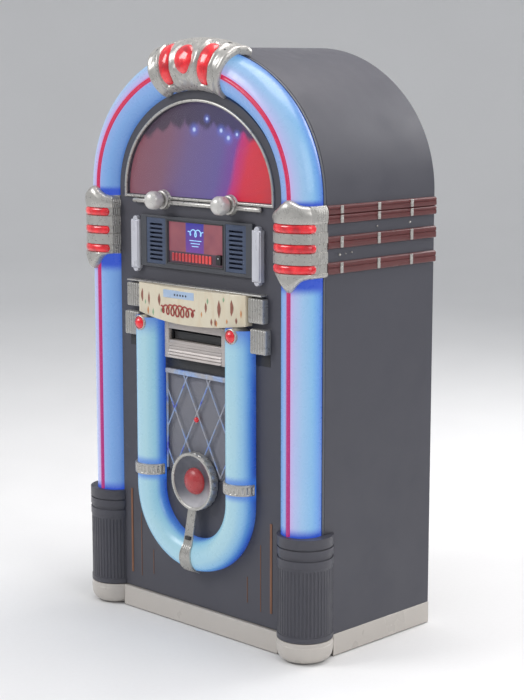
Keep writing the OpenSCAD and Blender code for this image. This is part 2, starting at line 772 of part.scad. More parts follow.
module u_tubes() color([0.45, 0.75, 0.92]) both() {
    difference() {
        translate([u_x, 0, u_z + 0.3]) linear_extrude(u_top - u_z) mirror([0, 1]) u_section();
        bar_y(button_x, button_z, cup_r + clear, -60, 1);
    }
    translate([0, 0, u_z]) rotate([90, 0, 0]) rotate([0, 0, -89.9])
        rotate_extrude(angle = 89.9) translate([u_x, 0]) u_section();
}

module clamp_band() translate([u_x, 0, 385]) difference() {
    linear_extrude(28) mirror([0, 1]) intersection() {
        difference() {
            union() {
                translate([0, 5]) circle(r = u_r + 6);
                translate([-u_r - 7, 0]) square([2 * u_r + 14, 6]);
            }
            translate([0, 5]) circle(r = u_r + clear);
        }
        translate([-60, 0.2]) square([120, 60]);
    }
    for (a = [-60:12:60]) rotate([0, 0, a - 90]) translate([u_r + 6, 0, 3]) cylinder(r = 1.4, h = 22);
}

strap_w = 40;
strap_z = u_z - u_x;
function strap_arc(r, a) = [-5 - r * cos(a), strap_z + r * sin(a)];

module horn_strap() difference() {
    translate([-strap_w / 2, 0, 0]) rotate([90, 0, 90]) linear_extrude(strap_w) polygon(concat(
        [[-26, horn_z - horn_r - 0.2]],
        [for (a = [16:-8:-72]) strap_arc(u_r + 5, a)],
        [for (a = [-72:8:16]) strap_arc(u_r + 0.5, a)],
        [[-20, horn_z - horn_r - 0.2]]
    ));
    for (x = [-14:7:14]) translate([x, -50, 150]) cylinder(r = 1.4, h = 74);
}

module tube_clamps() color([0.72, 0.71, 0.72]) {
    both() clamp_band();
    horn_strap();
}

module strand(c, s) translate([c, -4, lattice_z])
    rotate([0, s * atan(lattice_step[0] / lattice_step[1]), 0])
        cylinder(r = strand_r, h = 520, center = true);

module lattice() color([0.72, 0.74, 0.80]) union() {
    difference() {
        intersection() {
            union() for (i = [-2:2], s = [-1, 1]) strand(i * 2 * lattice_step[0], s);
            span([-108, -10, 404], [108, 2, 652]);
        }
        bar_y(0, horn_z, horn_r + 1, -40, 10);
        translate([0, -6, 543]) sphere(r = 7.4);
    }
    span([-112, -9, 650], [112, -0.2, 662]);
    both() span([107, -7, 404], [110.5, -1, 651]);
}

module grille_cloth() color([0.42, 0.42, 0.44])
    span([-grille_w / 2 + 0.4, 4, grille_z[0] + 0.4], [grille_w / 2 - 0.4, 7, grille_z[1] - 8.4]);

module horn() color([0.70, 0.70, 0.71]) dish(0, 0, horn_z) polygon([
    [0, 0], [0, -12], [38, -12], [59, -18], [64, -26], [70, -26], [horn_r, -22], [horn_r, 0]
]);

module trim_strips() color([0.45, 0.27, 0.18]) both() {
    span([250.5, -1.5, 96], [257.5, 0, 322]);
    span([217, -1, 92], [219, 0, 262]);
    span([171, -1, 106], [173, 0, 172]);
}

// ---------- front door: lighting ----------

lamp_y = 14;
lamp_z = [318, 890];
sleeve_r = 17;

module lamps() color([0.95, 0.95, 0.90]) both() translate([tube_x, lamp_y, 0]) union() {
    translate([0, 0, lamp_z[0]]) cylinder(r = 8, h = lamp_z[1] - lamp_z[0]);
    for (z = [lamp_z[0], lamp_z[1] - 10]) translate([0, 0, z]) union() {
        cylinder(r = 13, h = 10);
        span([-9, 0, 0], [9, plate_y - lamp_y - 0.1, 10]);
    }
}

module colour_cylinder(s) translate([s * tube_x, lamp_y, lamp_z[0] + 14]) difference() {
    cylinder(r = sleeve_r, h = lamp_z[1] - lamp_z[0] - 28);
    translate([0, 0, 4]) cylinder(r = sleeve_r - 1.5, h = lamp_z[1] - lamp_z[0] - 36);
    translate([0, 0, -1]) cylinder(r = 8 + fit, h = lamp_z[1] - lamp_z[0]);
}

module colour_cylinder_left() color([0.3, 0.5, 0.9]) colour_cylinder(-1);
module colour_cylinder_right() color([0.3, 0.5, 0.9]) colour_cylinder(1);

module door_hinges() color([0.55, 0.55, 0.57]) for (z = hinge_zs) difference() {
    union() {
        translate([hinge_axis[0], hinge_axis[1], z + hinge_h / 2 + clear])
            cylinder(r = hinge_r, h = hinge_h / 2 - clear);
        span([hinge_axis[0] - 2, plate_y + 1, z + hinge_h / 2 + clear],
            [hinge_axis[0] + 3, hinge_axis[1], z + hinge_h]);
        span([hinge_axis[0] - 2, plate_y + 1, z + hinge_h / 2 + clear],
            [-half_w + 0.6, door_back, z + hinge_h]);
    }
    translate([hinge_axis[0], hinge_axis[1], z - 1]) cylinder(r = hinge_pin_r + fit, h = hinge_h + 2);
}

// ---------- nodes ----------

place() cabinet_shell();
place() plinth();
place() front_feet();
place() floor_board();
place() levelling_glides();
place() back_frame();
place() side_bands();
place() band_studs();
place() mech_shelf();
place() speaker_baffle();
place() woofer_frame();
place() woofer_cone();
place() amplifier();
place() power_supply();
place() mains_inlet();
place() cabinet_hinges();
place() changer_base();
place() disc_player();
place() rear_door();
place() rear_lock();
place() disc_carousel();
place() discs();
place() transfer_arm();
place() disc_spindle();
place() door_backplate();
place() front_panel();
place() outer_tubes();
place() bubble_tubes();
place() pilaster_left();
place() pilaster_right();
place() side_casting_left();
place() side_casting_right();
place() crown_casting();
place() red_inserts();
place() dome_trim();
place() dome_glass();
place() dome_backdrop();
place() display_bezel();
place() display_screen();
place() louvres();
place() handle_bars();
place() title_panel();
place() end_blocks();
place() coin_housing();
place() u_tubes();
place() tube_clamps();
place() lattice();
place() horn();
place() grille_cloth();
place() trim_strips();
place() lamps();
place() door_hinges();
place() colour_cylinder_left();
place() colour_cylinder_right();
place() volume_knob();
place() tone_knob();
place() button_left();
place() button_right();
place() return_flap();
place() cancel_key();
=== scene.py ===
import json
from math import acos, asin, atan2, copysign, cos, degrees, exp, hypot, pi, radians, sin, sqrt

import bmesh
import bpy
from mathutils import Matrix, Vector

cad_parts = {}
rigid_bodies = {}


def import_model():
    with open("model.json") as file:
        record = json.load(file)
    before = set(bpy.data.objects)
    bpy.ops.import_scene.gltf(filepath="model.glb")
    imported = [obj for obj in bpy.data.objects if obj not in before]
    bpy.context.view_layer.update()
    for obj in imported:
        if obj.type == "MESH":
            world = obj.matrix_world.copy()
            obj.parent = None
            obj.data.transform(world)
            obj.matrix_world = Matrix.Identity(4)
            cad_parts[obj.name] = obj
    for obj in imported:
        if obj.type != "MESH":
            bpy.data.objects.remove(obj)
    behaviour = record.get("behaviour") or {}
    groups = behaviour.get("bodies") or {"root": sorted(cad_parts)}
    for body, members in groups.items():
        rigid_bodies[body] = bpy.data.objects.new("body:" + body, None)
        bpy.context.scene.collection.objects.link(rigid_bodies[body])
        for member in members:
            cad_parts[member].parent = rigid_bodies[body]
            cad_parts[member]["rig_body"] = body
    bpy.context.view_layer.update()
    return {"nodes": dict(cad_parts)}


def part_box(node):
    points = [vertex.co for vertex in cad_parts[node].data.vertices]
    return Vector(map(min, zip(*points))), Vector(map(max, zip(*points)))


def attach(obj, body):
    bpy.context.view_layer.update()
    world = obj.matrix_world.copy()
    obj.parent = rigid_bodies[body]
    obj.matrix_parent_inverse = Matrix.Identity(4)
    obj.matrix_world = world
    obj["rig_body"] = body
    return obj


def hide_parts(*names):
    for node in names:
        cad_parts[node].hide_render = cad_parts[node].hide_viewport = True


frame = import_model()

# ---------- places that come from the frame ----------

MM = 0.001
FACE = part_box("front_panel")[0].y
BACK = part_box("cabinet_shell")[1].y
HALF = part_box("cabinet_shell")[1].x
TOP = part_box("cabinet_shell")[1].z
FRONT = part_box("cabinet_shell")[0].y
SHELL_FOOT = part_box("cabinet_shell")[0].z

# The three-centred arch: two side arcs and a top arc that meet at JOIN, measured from the springing.
SPRING = 1107 * MM
JOIN = radians(45)
RISE = TOP - SPRING
STEP = (HALF - RISE) / (cos(JOIN) + sin(JOIN) - 1)
SIDE_R = RISE - STEP * (1 - sin(JOIN))
TOP_R = SIDE_R + STEP
SIDE_X = HALF - SIDE_R
TOP_CENTRE = TOP - TOP_R

TUBE_R = 51 * MM
TUBE_Y = 20 * MM
STRIPE_R = 5.5 * MM
STRIPE_Y = -28 * MM
SOCKET_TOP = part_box("pilaster_right")[1].z
WINDOW_Z = 1094 * MM
U_X = 161 * MM
U_Z = 358 * MM
U_R = 42 * MM
U_Y = -5 * MM
# Centres of the right end button and the right knob, in millimetres
BUTTON_X, BUTTON_Z = 163, 776
KNOB_X, KNOB_Z = 118, 1086
# Star lights in the dome: across and up in millimetres, and size
STARS = ((-17, 1262, 1.2), (28, 1289, 0.8), (77, 1262, 1.1), (102, 1245, 1.2), (131, 1254, 0.8))


def at(x, y, z):
    """A place in millimetres, with y measured from the face of the front panel, as a vector in metres."""
    return Vector((x * MM, FACE + y * MM, z * MM))


BODY_OF = {n: o["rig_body"] for n, o in frame["nodes"].items()}


# ---------- making materials ----------

class Nodes:
    """Makes and joins the nodes of one material."""

    def __init__(self, name):
        self.material = bpy.data.materials.new(name)
        self.material.use_nodes = True
        self.tree = self.material.node_tree
        self.shader = self.tree.nodes["Principled BSDF"]
        self.place = self.tree.nodes.new("ShaderNodeTexCoord").outputs["Object"]

    def put(self, socket, value):
        if isinstance(value, bpy.types.NodeSocket):
            self.tree.links.new(value, socket)
        else:
            socket.default_value = value

    def node(self, kind, output, inputs, **settings):
        """One output of a new node that has these settings and these inputs, by number or name."""
        node = self.tree.nodes.new("ShaderNode" + kind)
        for key, value in settings.items():
            setattr(node, key, value)
        for key, value in inputs.items():
            self.put(node.inputs[key], value)
        return node.outputs[output]

    def set(self, **values):
        for key, value in values.items():
            self.put(self.shader.inputs[key.replace("_", " ")], value)

    def math(self, operation, *values, clamp=False):
        return self.node("Math", 0, dict(enumerate(values)), operation=operation, use_clamp=clamp)

    def times(self, a, b):
        return self.math("MULTIPLY", a, b)

    def plus(self, a, b):
        return self.math("ADD", a, b)

    def minus(self, a, b):
        return self.math("SUBTRACT", a, b)

    def axes(self, vector=None):
        split = self.tree.nodes.new("ShaderNodeSeparateXYZ")
        self.put(split.inputs[0], vector or self.place)
        return split.outputs

    def vector(self, *values):
        return self.node("CombineXYZ", 0, dict(enumerate(values)))

    def stretched(self, *scale):
        return self.node("Mapping", 0, {"Vector": self.place, "Scale": scale})

    def uv(self):
        return self.axes(self.node("UVMap", 0, {}, uv_map="sweep"))

    def noise(self, scale, detail=3.0, vector=None):
        return self.node("TexNoise", "Fac", {"Vector": vector or self.place, "Scale": scale,
                                             "Detail": detail})

    def cells(self, scale):
        return self.node("TexVoronoi", "Distance", {"Vector": self.place, "Scale": scale})

    def span(self, value, low, high, to_low=0.0, to_high=1.0, smooth=False):
        kind = "SMOOTHSTEP" if smooth else "LINEAR"
        return self.node("MapRange", 0, dict(enumerate((value, low, high, to_low, to_high))),
                         interpolation_type=kind)

    def mix(self, factor, a, b):
        return self.node("Mix", 2, {0: factor, 6: rgba(a), 7: rgba(b)}, data_type="RGBA")

    def ramp(self, factor, *stops):
        node = self.tree.nodes.new("ShaderNodeValToRGB")
        self.put(node.inputs[0], factor)
        elements = node.color_ramp.elements
        while len(elements) < len(stops):
            elements.new(0.5)
        for element, (position, colour) in zip(elements, stops):
            element.position = position
            element.color = rgba(colour)
        return node.outputs[0]

    def bump(self, height, distance):
        self.put(self.shader.inputs["Normal"], self.node("Bump", 0, {"Height": height, "Distance": distance}))


def rgba(value):
    return (*value, 1.0) if isinstance(value, tuple) and len(value) == 3 else value


def srgb(red, green, blue):
    """A screen colour, 0 to 255 a channel, as the linear colour that shaders use."""
    parts = (c / 255 for c in (red, green, blue))
    return tuple(c / 12.92 if c < 11 / 255 else ((c + 0.055) / 1.055) ** 2.4 for c in parts)


def shade(colour, by):
    return tuple(min(1.0, c * by) for c in colour)


def surface(name, colour, roughness, metallic=0.0, mottle=0.14, patch=7.0, grain=420.0, depth=0.00012,
            coat=0.0, stretch=None, rough_spread=0.10, specular=0.5):
    """A material with cloudy colour changes, a fine grain in its bump, and uneven gloss."""
    n = Nodes(name)
    vector = n.stretched(*stretch) if stretch else n.place
    cloud = n.noise(patch, 5.0)
    fine = n.noise(grain, 2.0, vector)
    tone = n.mix(cloud, shade(colour, 1 - mottle), shade(colour, 1 + mottle))
    tone = n.mix(n.span(fine, 0.35, 0.7, 0.0, mottle), tone, shade(colour, 0.55))
    smear = n.noise(patch * 4, 3.0, vector)
    n.set(Base_Color=tone, Metallic=metallic, Coat_Weight=coat, Specular_IOR_Level=specular)
    n.set(Roughness=n.span(smear, 0.3, 0.7, max(0.03, roughness - rough_spread), roughness + rough_spread))
    n.bump(fine, depth)
    return n.material


# ---------- making pieces ----------

def piece(name, mesh, material, replaces=(), smooth=60, body="front_door"):
    """Links a mesh, or several as one, as a piece of the object, shaded smooth apart from its sharp edges."""
    if isinstance(mesh, list):
        mesh = joined(mesh)
    thing = bpy.data.objects.new(name, mesh)
    bpy.context.scene.collection.objects.link(thing)
    mesh.materials.append(material)
    mesh.polygons.foreach_set("use_smooth", [True] * len(mesh.polygons))
    mesh.set_sharp_from_angle(angle=radians(smooth))
    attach(thing, body)
    if replaces:
        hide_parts(*replaces)
    return thing


def pair(name, mesh, material, replaces=(), smooth=60, body="front_door"):
    """A mesh on the right and its mirror image on the left, as one piece."""
    return piece(name, [mirrored(mesh), mesh], material, replaces, smooth, body)


def softened(node, material, width):
    """The CAD part as a piece of its own, with its flat faces merged and its edges rounded."""
    mesh = frame["nodes"][node].data.copy()
    mesh.materials.clear()
    bm = bmesh.new()
    bm.from_mesh(mesh)
    bmesh.ops.remove_doubles(bm, verts=bm.verts, dist=2e-6)
    bmesh.ops.dissolve_limit(bm, angle_limit=radians(0.4), verts=bm.verts, edges=bm.edges)
    bm.to_mesh(mesh)
    bm.free()
    thing = piece(node + "_skin", mesh, material, (node,), 40, BODY_OF[node])
    modifier = thing.modifiers.new("edges", "BEVEL")
    modifier.width = width
    modifier.segments = 2
    modifier.limit_method = "ANGLE"
    modifier.angle_limit = radians(35)
    modifier.harden_normals = True


def dress(material, *nodes):
    """Gives CAD parts a material."""
    for node in nodes:
        thing = frame["nodes"][node]
        for slot in thing.material_slots:
            slot.material = material


def mesh_from(verts, faces, uvs=None):
    mesh = bpy.data.meshes.new("skin")
    mesh.from_pydata([tuple(v) for v in verts], [], faces)
    if uvs:
        layer = mesh.uv_layers.new(name="sweep")
        for loop in mesh.loops:
            layer.data[loop.index].uv = uvs[loop.vertex_index]
    mesh.validate()
    bm = bmesh.new()
    bm.from_mesh(mesh)
    bmesh.ops.recalc_face_normals(bm, faces=bm.faces)
    bm.to_mesh(mesh)
    bm.free()
    return mesh


def loft(rings, closed=True, caps=True, lengths=None):
    """A skin over rings of points, with uv = (length along, fraction round)."""
    count = len(rings[0])
    verts = [p for ring in rings for p in ring]
    lengths = lengths or list(range(len(rings)))
    uvs = [(lengths[i], j / (count - 1)) for i in range(len(rings)) for j in range(count)]
    faces = []
    for i in range(len(rings) - 1):
        for j in range(count if closed else count - 1):
            k = (j + 1) % count
            faces.append((i * count + j, i * count + k, (i + 1) * count + k, (i + 1) * count + j))
    if caps:
        faces.append(tuple(range(count)))
        faces.append(tuple(range((len(rings) - 1) * count, len(rings) * count)))
    return mesh_from(verts, faces, uvs)


def joined(meshes):
    """One mesh made of several."""
    bm = bmesh.new()
    for mesh in meshes:
        bm.from_mesh(mesh)
        bpy.data.meshes.remove(mesh)
    mesh = bpy.data.meshes.new("skin")
    bm.to_mesh(mesh)
    bm.free()
    return mesh


def without(mesh, cutter):
    """The mesh with another closed mesh cut out of it."""
    things = [bpy.data.objects.new("temporary", m) for m in (mesh, cutter)]
    for thing in things:
        bpy.context.scene.collection.objects.link(thing)
    modifier = things[0].modifiers.new("cut", "BOOLEAN")
    modifier.operation = "DIFFERENCE"
    modifier.solver = "EXACT"
    modifier.object = things[1]
    shape = things[0].evaluated_get(bpy.context.evaluated_depsgraph_get())
    result = bpy.data.meshes.new_from_object(shape)
    for thing in things:
        bpy.data.objects.remove(thing)
    return result


def turned(centre, profile, axis="y", steps=64):
    """A profile of (radius, distance along the axis), in millimetres, turned about a line through centre."""
    spin = {"x": lambda r, h, c, s: (h, r * c, r * s), "y": lambda r, h, c, s: (r * c, h, r * s),
            "z": lambda r, h, c, s: (r * c, r * s, h)}[axis]
    rings = []
    for i in range(steps + 1):
        t = 2 * pi * i / steps
        rings.append([centre + Vector(spin(r * MM, h * MM, cos(t), sin(t))) for r, h in profile])
    mesh = loft(rings, caps=False)
    weld(mesh)
    return mesh


def weld(mesh, distance=1e-6):
    bm = bmesh.new()
    bm.from_mesh(mesh)
    bmesh.ops.remove_doubles(bm, verts=bm.verts, dist=distance)
    bmesh.ops.recalc_face_normals(bm, faces=bm.faces)
    bm.to_mesh(mesh)
    bm.free()


def box(low, high, radius, segments=3):
    """A box with rounded edges, from its lowest corner to its highest, in millimetres."""
    bm = bmesh.new()
    bmesh.ops.create_cube(bm, size=1.0)
    size = at(*high) - at(*low)
    bmesh.ops.scale(bm, vec=size, verts=bm.verts)
    bmesh.ops.translate(bm, vec=(at(*low) + at(*high)) / 2, verts=bm.verts)
    bmesh.ops.bevel(bm, geom=bm.edges[:], offset=min(radius * MM, min(size) * 0.49), segments=segments,
                    profile=0.5, affect="EDGES", clamp_overlap=True)
    mesh = bpy.data.meshes.new("skin")
    bm.to_mesh(mesh)
    bm.free()
    return mesh


def circle(centre, side, other, radius, steps):
    """A ring of points round centre, in the plane of two directions."""
    turns = (2 * pi * k / steps for k in range(steps))
    return [centre + (side * cos(t) + other * sin(t)) * radius for t in turns]


def rod(start, end, radius, steps):
    """A round rod from start to end, with domed ends."""
    along = (end - start).normalized()
    side = along.orthogonal().normalized()
    other = along.cross(side)
    dome = ((0.7, 0.3), (0.45, 0.8), (0.0, 1.0))
    stations = [(start - along * radius * out, radius * r) for out, r in dome]
    stations += [(end + along * radius * out, radius * r) for out, r in reversed(dome)]
    return loft([circle(centre, side, other, r, steps) for centre, r in stations])


def through(points, x):
    """The height at x of a smooth curve through points of (x, height) in order of x."""
    if x <= points[0][0]:
        return points[0][1]
    if x >= points[-1][0]:
        return points[-1][1]
    i = max(k for k in range(len(points) - 1) if points[k][0] <= x)
    before, a, b, after = points[max(0, i - 1)], points[i], points[i + 1], points[min(len(points) - 1, i + 2)]
    width = b[0] - a[0]
    t = (x - a[0]) / width
    rise_a = (b[1] - before[1]) / (b[0] - before[0]) * width
    rise_b = (after[1] - a[1]) / (after[0] - a[0]) * width
    return (a[1] * (2 * t ** 3 - 3 * t ** 2 + 1) + rise_a * (t ** 3 - 2 * t ** 2 + t)
            + b[1] * (3 * t ** 2 - 2 * t ** 3) + rise_b * (t ** 3 - t ** 2))


def hill(value, centre, width):
    """A smooth bump, 1 at centre."""
    return exp(-((value - centre) / width) ** 2)


def rounding(distance, reach):
    """0 on an edge, rising to 1 as a quarter circle at reach from it."""
    return sqrt(max(0.0, 1 - (1 - min(1.0, max(0.0, distance / reach))) ** 2))


def tube_along(points, radius):
    """A thin round line through points that lie in an upright plane."""
    rings = []
    for i, point in enumerate(points):
        ahead = points[min(i + 1, len(points) - 1)] - points[max(i - 1, 0)]
        side = Vector((-ahead.z, 0.0, ahead.x)).normalized()
        rings.append(circle(point, side, Vector((0.0, -1.0, 0.0)), radius, 8))
    return loft(rings)


def mirrored(mesh):
    """A copy of a mesh on the other side of the middle plane."""
    copy = mesh.copy()
    for v in copy.vertices:
        v.co.x = -v.co.x
    copy.flip_normals()
    return copy


# ---------- the arch ----------

def arch_point(off, turn):
    """The point and outward direction, in x and z, at a turn above the springing, off inside the outline."""
    direction = Vector((cos(turn), sin(turn)))
    if turn <= JOIN:
        return Vector((SIDE_X, SPRING)) + direction * (SIDE_R - off), direction
    return Vector((0.0, TOP_CENTRE)) + direction * (TOP_R - off), direction


def arch_path(off, foot, last=pi / 2, leg_steps=24, turn_steps=48):
    """Stations up the right leg and round to the turn last, as (point, outward direction)."""
    path = []
    for i in range(leg_steps):
        z = foot + (SPRING - foot) * i / leg_steps
        path.append((Vector((HALF - off, z)), Vector((1.0, 0.0))))
    for i in range(turn_steps + 1):
        path.append(arch_point(off, last * i / turn_steps))
    return path


def swept(path, section):
    """A section of (outward, y from the panel face) carried along stations of the arch."""
    rings, lengths, run = [], [], 0.0
    for i, (point, out) in enumerate(path):
        if i:
            run += (point - path[i - 1][0]).length
        lengths.append(run)
        rings.append([Vector((point.x + a * out.x, FACE + y, point.y + a * out.y)) for a, y in section])
    return loft(rings, lengths=lengths)


def both_halves(path):
    """Carries a path that ends at the crown on down the other side."""
    other = [(Vector((-p.x, p.y)), Vector((-d.x, d.y))) for p, d in reversed(path[:-1])]
    return path + other


# ---------- materials ----------

CHARCOAL = srgb(74, 74, 82)
SILVER = srgb(184, 182, 177)

vinyl = surface("charcoal_vinyl", CHARCOAL, 0.46, mottle=0.10, patch=3.0, grain=900.0, depth=0.00010,
                specular=0.42)
socket_plastic = surface("socket_plastic", srgb(70, 70, 78), 0.42, mottle=0.12, patch=9.0, grain=500.0)
cream = surface("cream_enamel", srgb(192, 186, 179), 0.36, mottle=0.035, patch=3.0, grain=260.0,
                depth=0.00006,
                coat=0.25)
board = surface("bare_board", (0.42, 0.29, 0.17), 0.72, mottle=0.2, patch=14.0, grain=160.0,
                stretch=(1.0, 0.25, 1.0), depth=0.0002)
black_board = surface("black_board", (0.035, 0.035, 0.038), 0.6, mottle=0.2, grain=300.0)
rubber = surface("rubber", (0.02, 0.02, 0.02), 0.7, mottle=0.2)
cast = surface("cast_silver", SILVER, 0.32, metallic=0.55, mottle=0.12, patch=24.0, grain=420.0,
               depth=0.00005,
               coat=0.15)
chrome = surface("chrome", (0.86, 0.86, 0.88), 0.20, metallic=0.7, mottle=0.06, grain=600.0, depth=0.00003,
                 rough_spread=0.06)
steel = surface("zinc_steel", (0.50, 0.50, 0.52), 0.38, metallic=0.9, mottle=0.12, grain=300.0,
                stretch=(1.0, 1.0, 0.05), depth=0.00006)
band = surface("red_brown_band", srgb(96, 46, 46), 0.30, mottle=0.25, patch=10.0, grain=160.0,
               stretch=(1.0, 0.06, 1.0), coat=0.35)
paper = surface("cone_paper", (0.03, 0.03, 0.03), 0.85, mottle=0.25, grain=700.0, depth=0.0003)
chassis = surface("chassis_paint", (0.10, 0.105, 0.12), 0.5, mottle=0.12, grain=500.0)
moulded = surface("moulded_black", (0.022, 0.022, 0.024), 0.38, mottle=0.2, grain=700.0)
bezel = surface("bezel_plastic", srgb(70, 72, 78), 0.40, mottle=0.10, grain=600.0)
louvre = surface("louvre_blue", srgb(66, 78, 102), 0.42, mottle=0.16, patch=20.0, grain=300.0)
copper = surface("dull_copper", srgb(134, 94, 72), 0.48, metallic=0.35, mottle=0.3, patch=30.0, grain=120.0,
                 stretch=(1.0, 1.0, 0.12))
pearl = surface("knob_pearl", srgb(206, 204, 200), 0.34, metallic=0.25, mottle=0.08, patch=26.0, grain=300.0,
                depth=0.00008, coat=0.15)
bar_white = surface("bar_white", srgb(205, 206, 214), 0.30, metallic=0.25, mottle=0.08, patch=14.0,
                    grain=200.0,
                    stretch=(1.0, 1.0, 0.2))


def jewel_material():
    """Glossy red plastic with a lit depth and small inner flecks."""
    n = Nodes("jewel_red")
    cloud = n.noise(40.0, 4.0)
    tone = n.ramp(cloud, (0.30, srgb(168, 14, 30)), (0.55, srgb(222, 30, 42)), (0.75, srgb(240, 70, 70)))
    n.set(Base_Color=tone, Coat_Weight=0.8, Emission_Color=tone, Emission_Strength=0.22)
    n.set(Roughness=n.span(n.noise(90.0), 0.3, 0.7, 0.12, 0.30))
    n.bump(n.noise(140.0, 2.0), 0.0003)
    return n.material


def glow(name, along, strength, rough=0.30, body=0.25):
    """A lit plastic whose colour, given by along(n), is its light and, in part, its surface."""
    n = Nodes(name)
    tone = along(n)
    n.set(Base_Color=n.mix(1 - body, tone, (0.01, 0.012, 0.02)), Emission_Color=tone,
          Emission_Strength=strength)
    n.set(Coat_Weight=0.15, Roughness=n.span(n.noise(60.0, 3.0), 0.3, 0.7, rough - 0.08, rough + 0.08))
    n.bump(n.noise(9.0, 2.0), 0.0001)
    return n.material


def outer_tube_colour(n):
    """Lilac beside the stripe, light blue on the flank, cyan outboard and deep blue at the seams and ends."""
    uv = n.uv()
    z = n.axes()[2]
    round_it = n.ramp(
        uv[1],
        (0.00, srgb(34, 62, 150)), (0.10, srgb(66, 104, 184)), (0.22, srgb(104, 148, 212)),
        (0.34, srgb(122, 168, 226)), (0.44, srgb(142, 176, 232)), (0.485, srgb(176, 172, 236)),
        (0.53, srgb(206, 178, 234)), (0.60, srgb(184, 194, 238)), (0.70, srgb(162, 200, 238)),
        (0.82, srgb(136, 192, 236)), (0.91, srgb(106, 164, 234)), (1.00, srgb(52, 100, 200)))
    tone = n.mix(n.span(n.noise(4.0, 3.0), 0.4, 0.75, 0.0, 0.30), round_it, srgb(134, 176, 234))
    above = n.span(z, SOCKET_TOP, SOCKET_TOP + 0.026, smooth=True)
    below = n.span(z, 0.912, 0.886, smooth=True)
    crest = n.span(z, 1.10, 1.115, smooth=True)
    lit = n.times(above, n.math("ADD", below, crest, clamp=True))
    return n.mix(lit, srgb(44, 84, 206), tone)


def stripe_colour(n):
    """Magenta low down, crimson over the arch, with bubbles of lighter red."""
    z = n.axes()[2]
    tone = n.mix(n.span(z, 0.35, 1.35, smooth=True), srgb(176, 26, 118), srgb(212, 34, 78))
    bubbles = n.span(n.cells(170.0), 0.12, 0.30, 0.35, 0.0)
    return n.mix(bubbles, tone, srgb(240, 96, 140))


def u_tube_colour(n):
    """Pale cyan along the middle and deep blue where the tube meets the panel, the deep blue painted as shade
    on its flanks.
    """
    uv = n.uv()
    round_it = n.ramp(
        uv[1],
        (0.00, srgb(34, 74, 176)), (0.12, srgb(74, 128, 204)), (0.22, srgb(136, 188, 212)),
        (0.40, srgb(166, 206, 218)), (0.60, srgb(164, 204, 220)), (0.74, srgb(134, 184, 220)),
        (0.84, srgb(84, 142, 208)), (0.93, srgb(50, 98, 192)), (1.00, srgb(34, 68, 160)))
    z = n.axes()[2]
    # Painted shade: the tube turns deep blue just above and below the clamp round each leg.
    near_band = n.math("ABSOLUTE", n.minus(z, 0.400))
    dark = n.span(near_band, 0.016, 0.036, 0.75, 0.0, smooth=True)
    # Painted shadow of the title panel, deep blue towards the upper ends of the legs.
    title_shadow = n.span(z, 0.735, 0.800, 0.0, 0.7, smooth=True)
    tone = n.mix(n.span(n.noise(7.0, 3.0), 0.45, 0.75, 0.0, 0.25), round_it, srgb(130, 190, 226))
    tone = n.mix(dark, tone, srgb(52, 112, 212))
    return n.mix(title_shadow, tone, srgb(46, 92, 200))


def dome_colour(n):
    """Dusty red at the left, violet in the middle, bright red at the right, under a dark scalloped band."""
    x, y, z = n.axes()
    lean = n.times(n.minus(z, WINDOW_Z), -0.32)
    drift = n.times(n.minus(n.noise(6.0, 3.0), 0.5), 0.04)
    across = n.span(n.plus(n.plus(x, drift), lean), -0.26, 0.26)
    tone = n.ramp(across, (0.00, srgb(132, 78, 88)), (0.20, srgb(124, 84, 104)), (0.36, srgb(106, 88, 136)),
                  (0.58, srgb(98, 86, 150)), (0.67, srgb(116, 66, 152)), (0.70, srgb(190, 36, 116)),
                  (0.77, srgb(212, 36, 56)), (0.90, srgb(206, 38, 44)), (1.00, srgb(176, 44, 52)))
    turn = n.math("ARCTAN2", n.minus(z, WINDOW_Z - 0.02), x)
    rays = n.noise(40.0, 2.0, n.vector(turn, 0.0, 0.0))
    tone = n.mix(n.span(rays, 0.35, 0.65, 0.0, 0.16), tone, srgb(70, 44, 76))
    scallop = n.times(n.math("ABSOLUTE", n.math("SINE", n.times(x, 62.0))), 0.016)
    ragged = n.times(n.noise(34.0, 3.0), 0.030)
    edge = n.plus(n.plus(z, n.plus(scallop, ragged)),
                  n.times(n.times(x, x), 0.9))
    band = n.mix(n.span(x, -0.12, 0.14), srgb(60, 46, 62), srgb(50, 44, 84))
    tone = n.mix(n.span(edge, 1.290, 1.308, 0.0, 0.94, smooth=True), tone, band)
    for sx, sz, size in STARS:
        away = n.tree.nodes.new("ShaderNodeVectorMath")
        away.operation = "DISTANCE"
        n.put(away.inputs[0], n.vector(x, 0.0, z))
        away.inputs[1].default_value = (sx * MM, 0.0, sz * MM)
        tone = n.mix(n.span(away.outputs["Value"], 0.0, 0.020 * size, 0.75, 0.0, smooth=True), tone,
                     srgb(96, 112, 210))
        tone = n.mix(n.span(away.outputs["Value"], 0.002, 0.0065 * size, 0.9, 0.0, smooth=True), tone,
                     srgb(196, 214, 250))
    return tone


def screen_colour(n):
    """Dusty rose at the sides with a violet square in the middle."""
    x, y, z = n.axes()
    side = n.mix(n.noise(26.0, 3.0), srgb(118, 58, 76), srgb(164, 92, 96))
    across = n.math("ABSOLUTE", n.plus(x, 0.004))
    square = n.span(across, 0.030, 0.034, 1.0, 0.0)
    violet = n.mix(n.span(z, 0.965, 1.030), srgb(112, 60, 150), srgb(58, 50, 158))
    tone = n.mix(square, side, violet)
    floor_line = n.span(z, 0.960, 0.962, 1.0, 0.0)
    return n.mix(floor_line, tone, srgb(74, 50, 60))


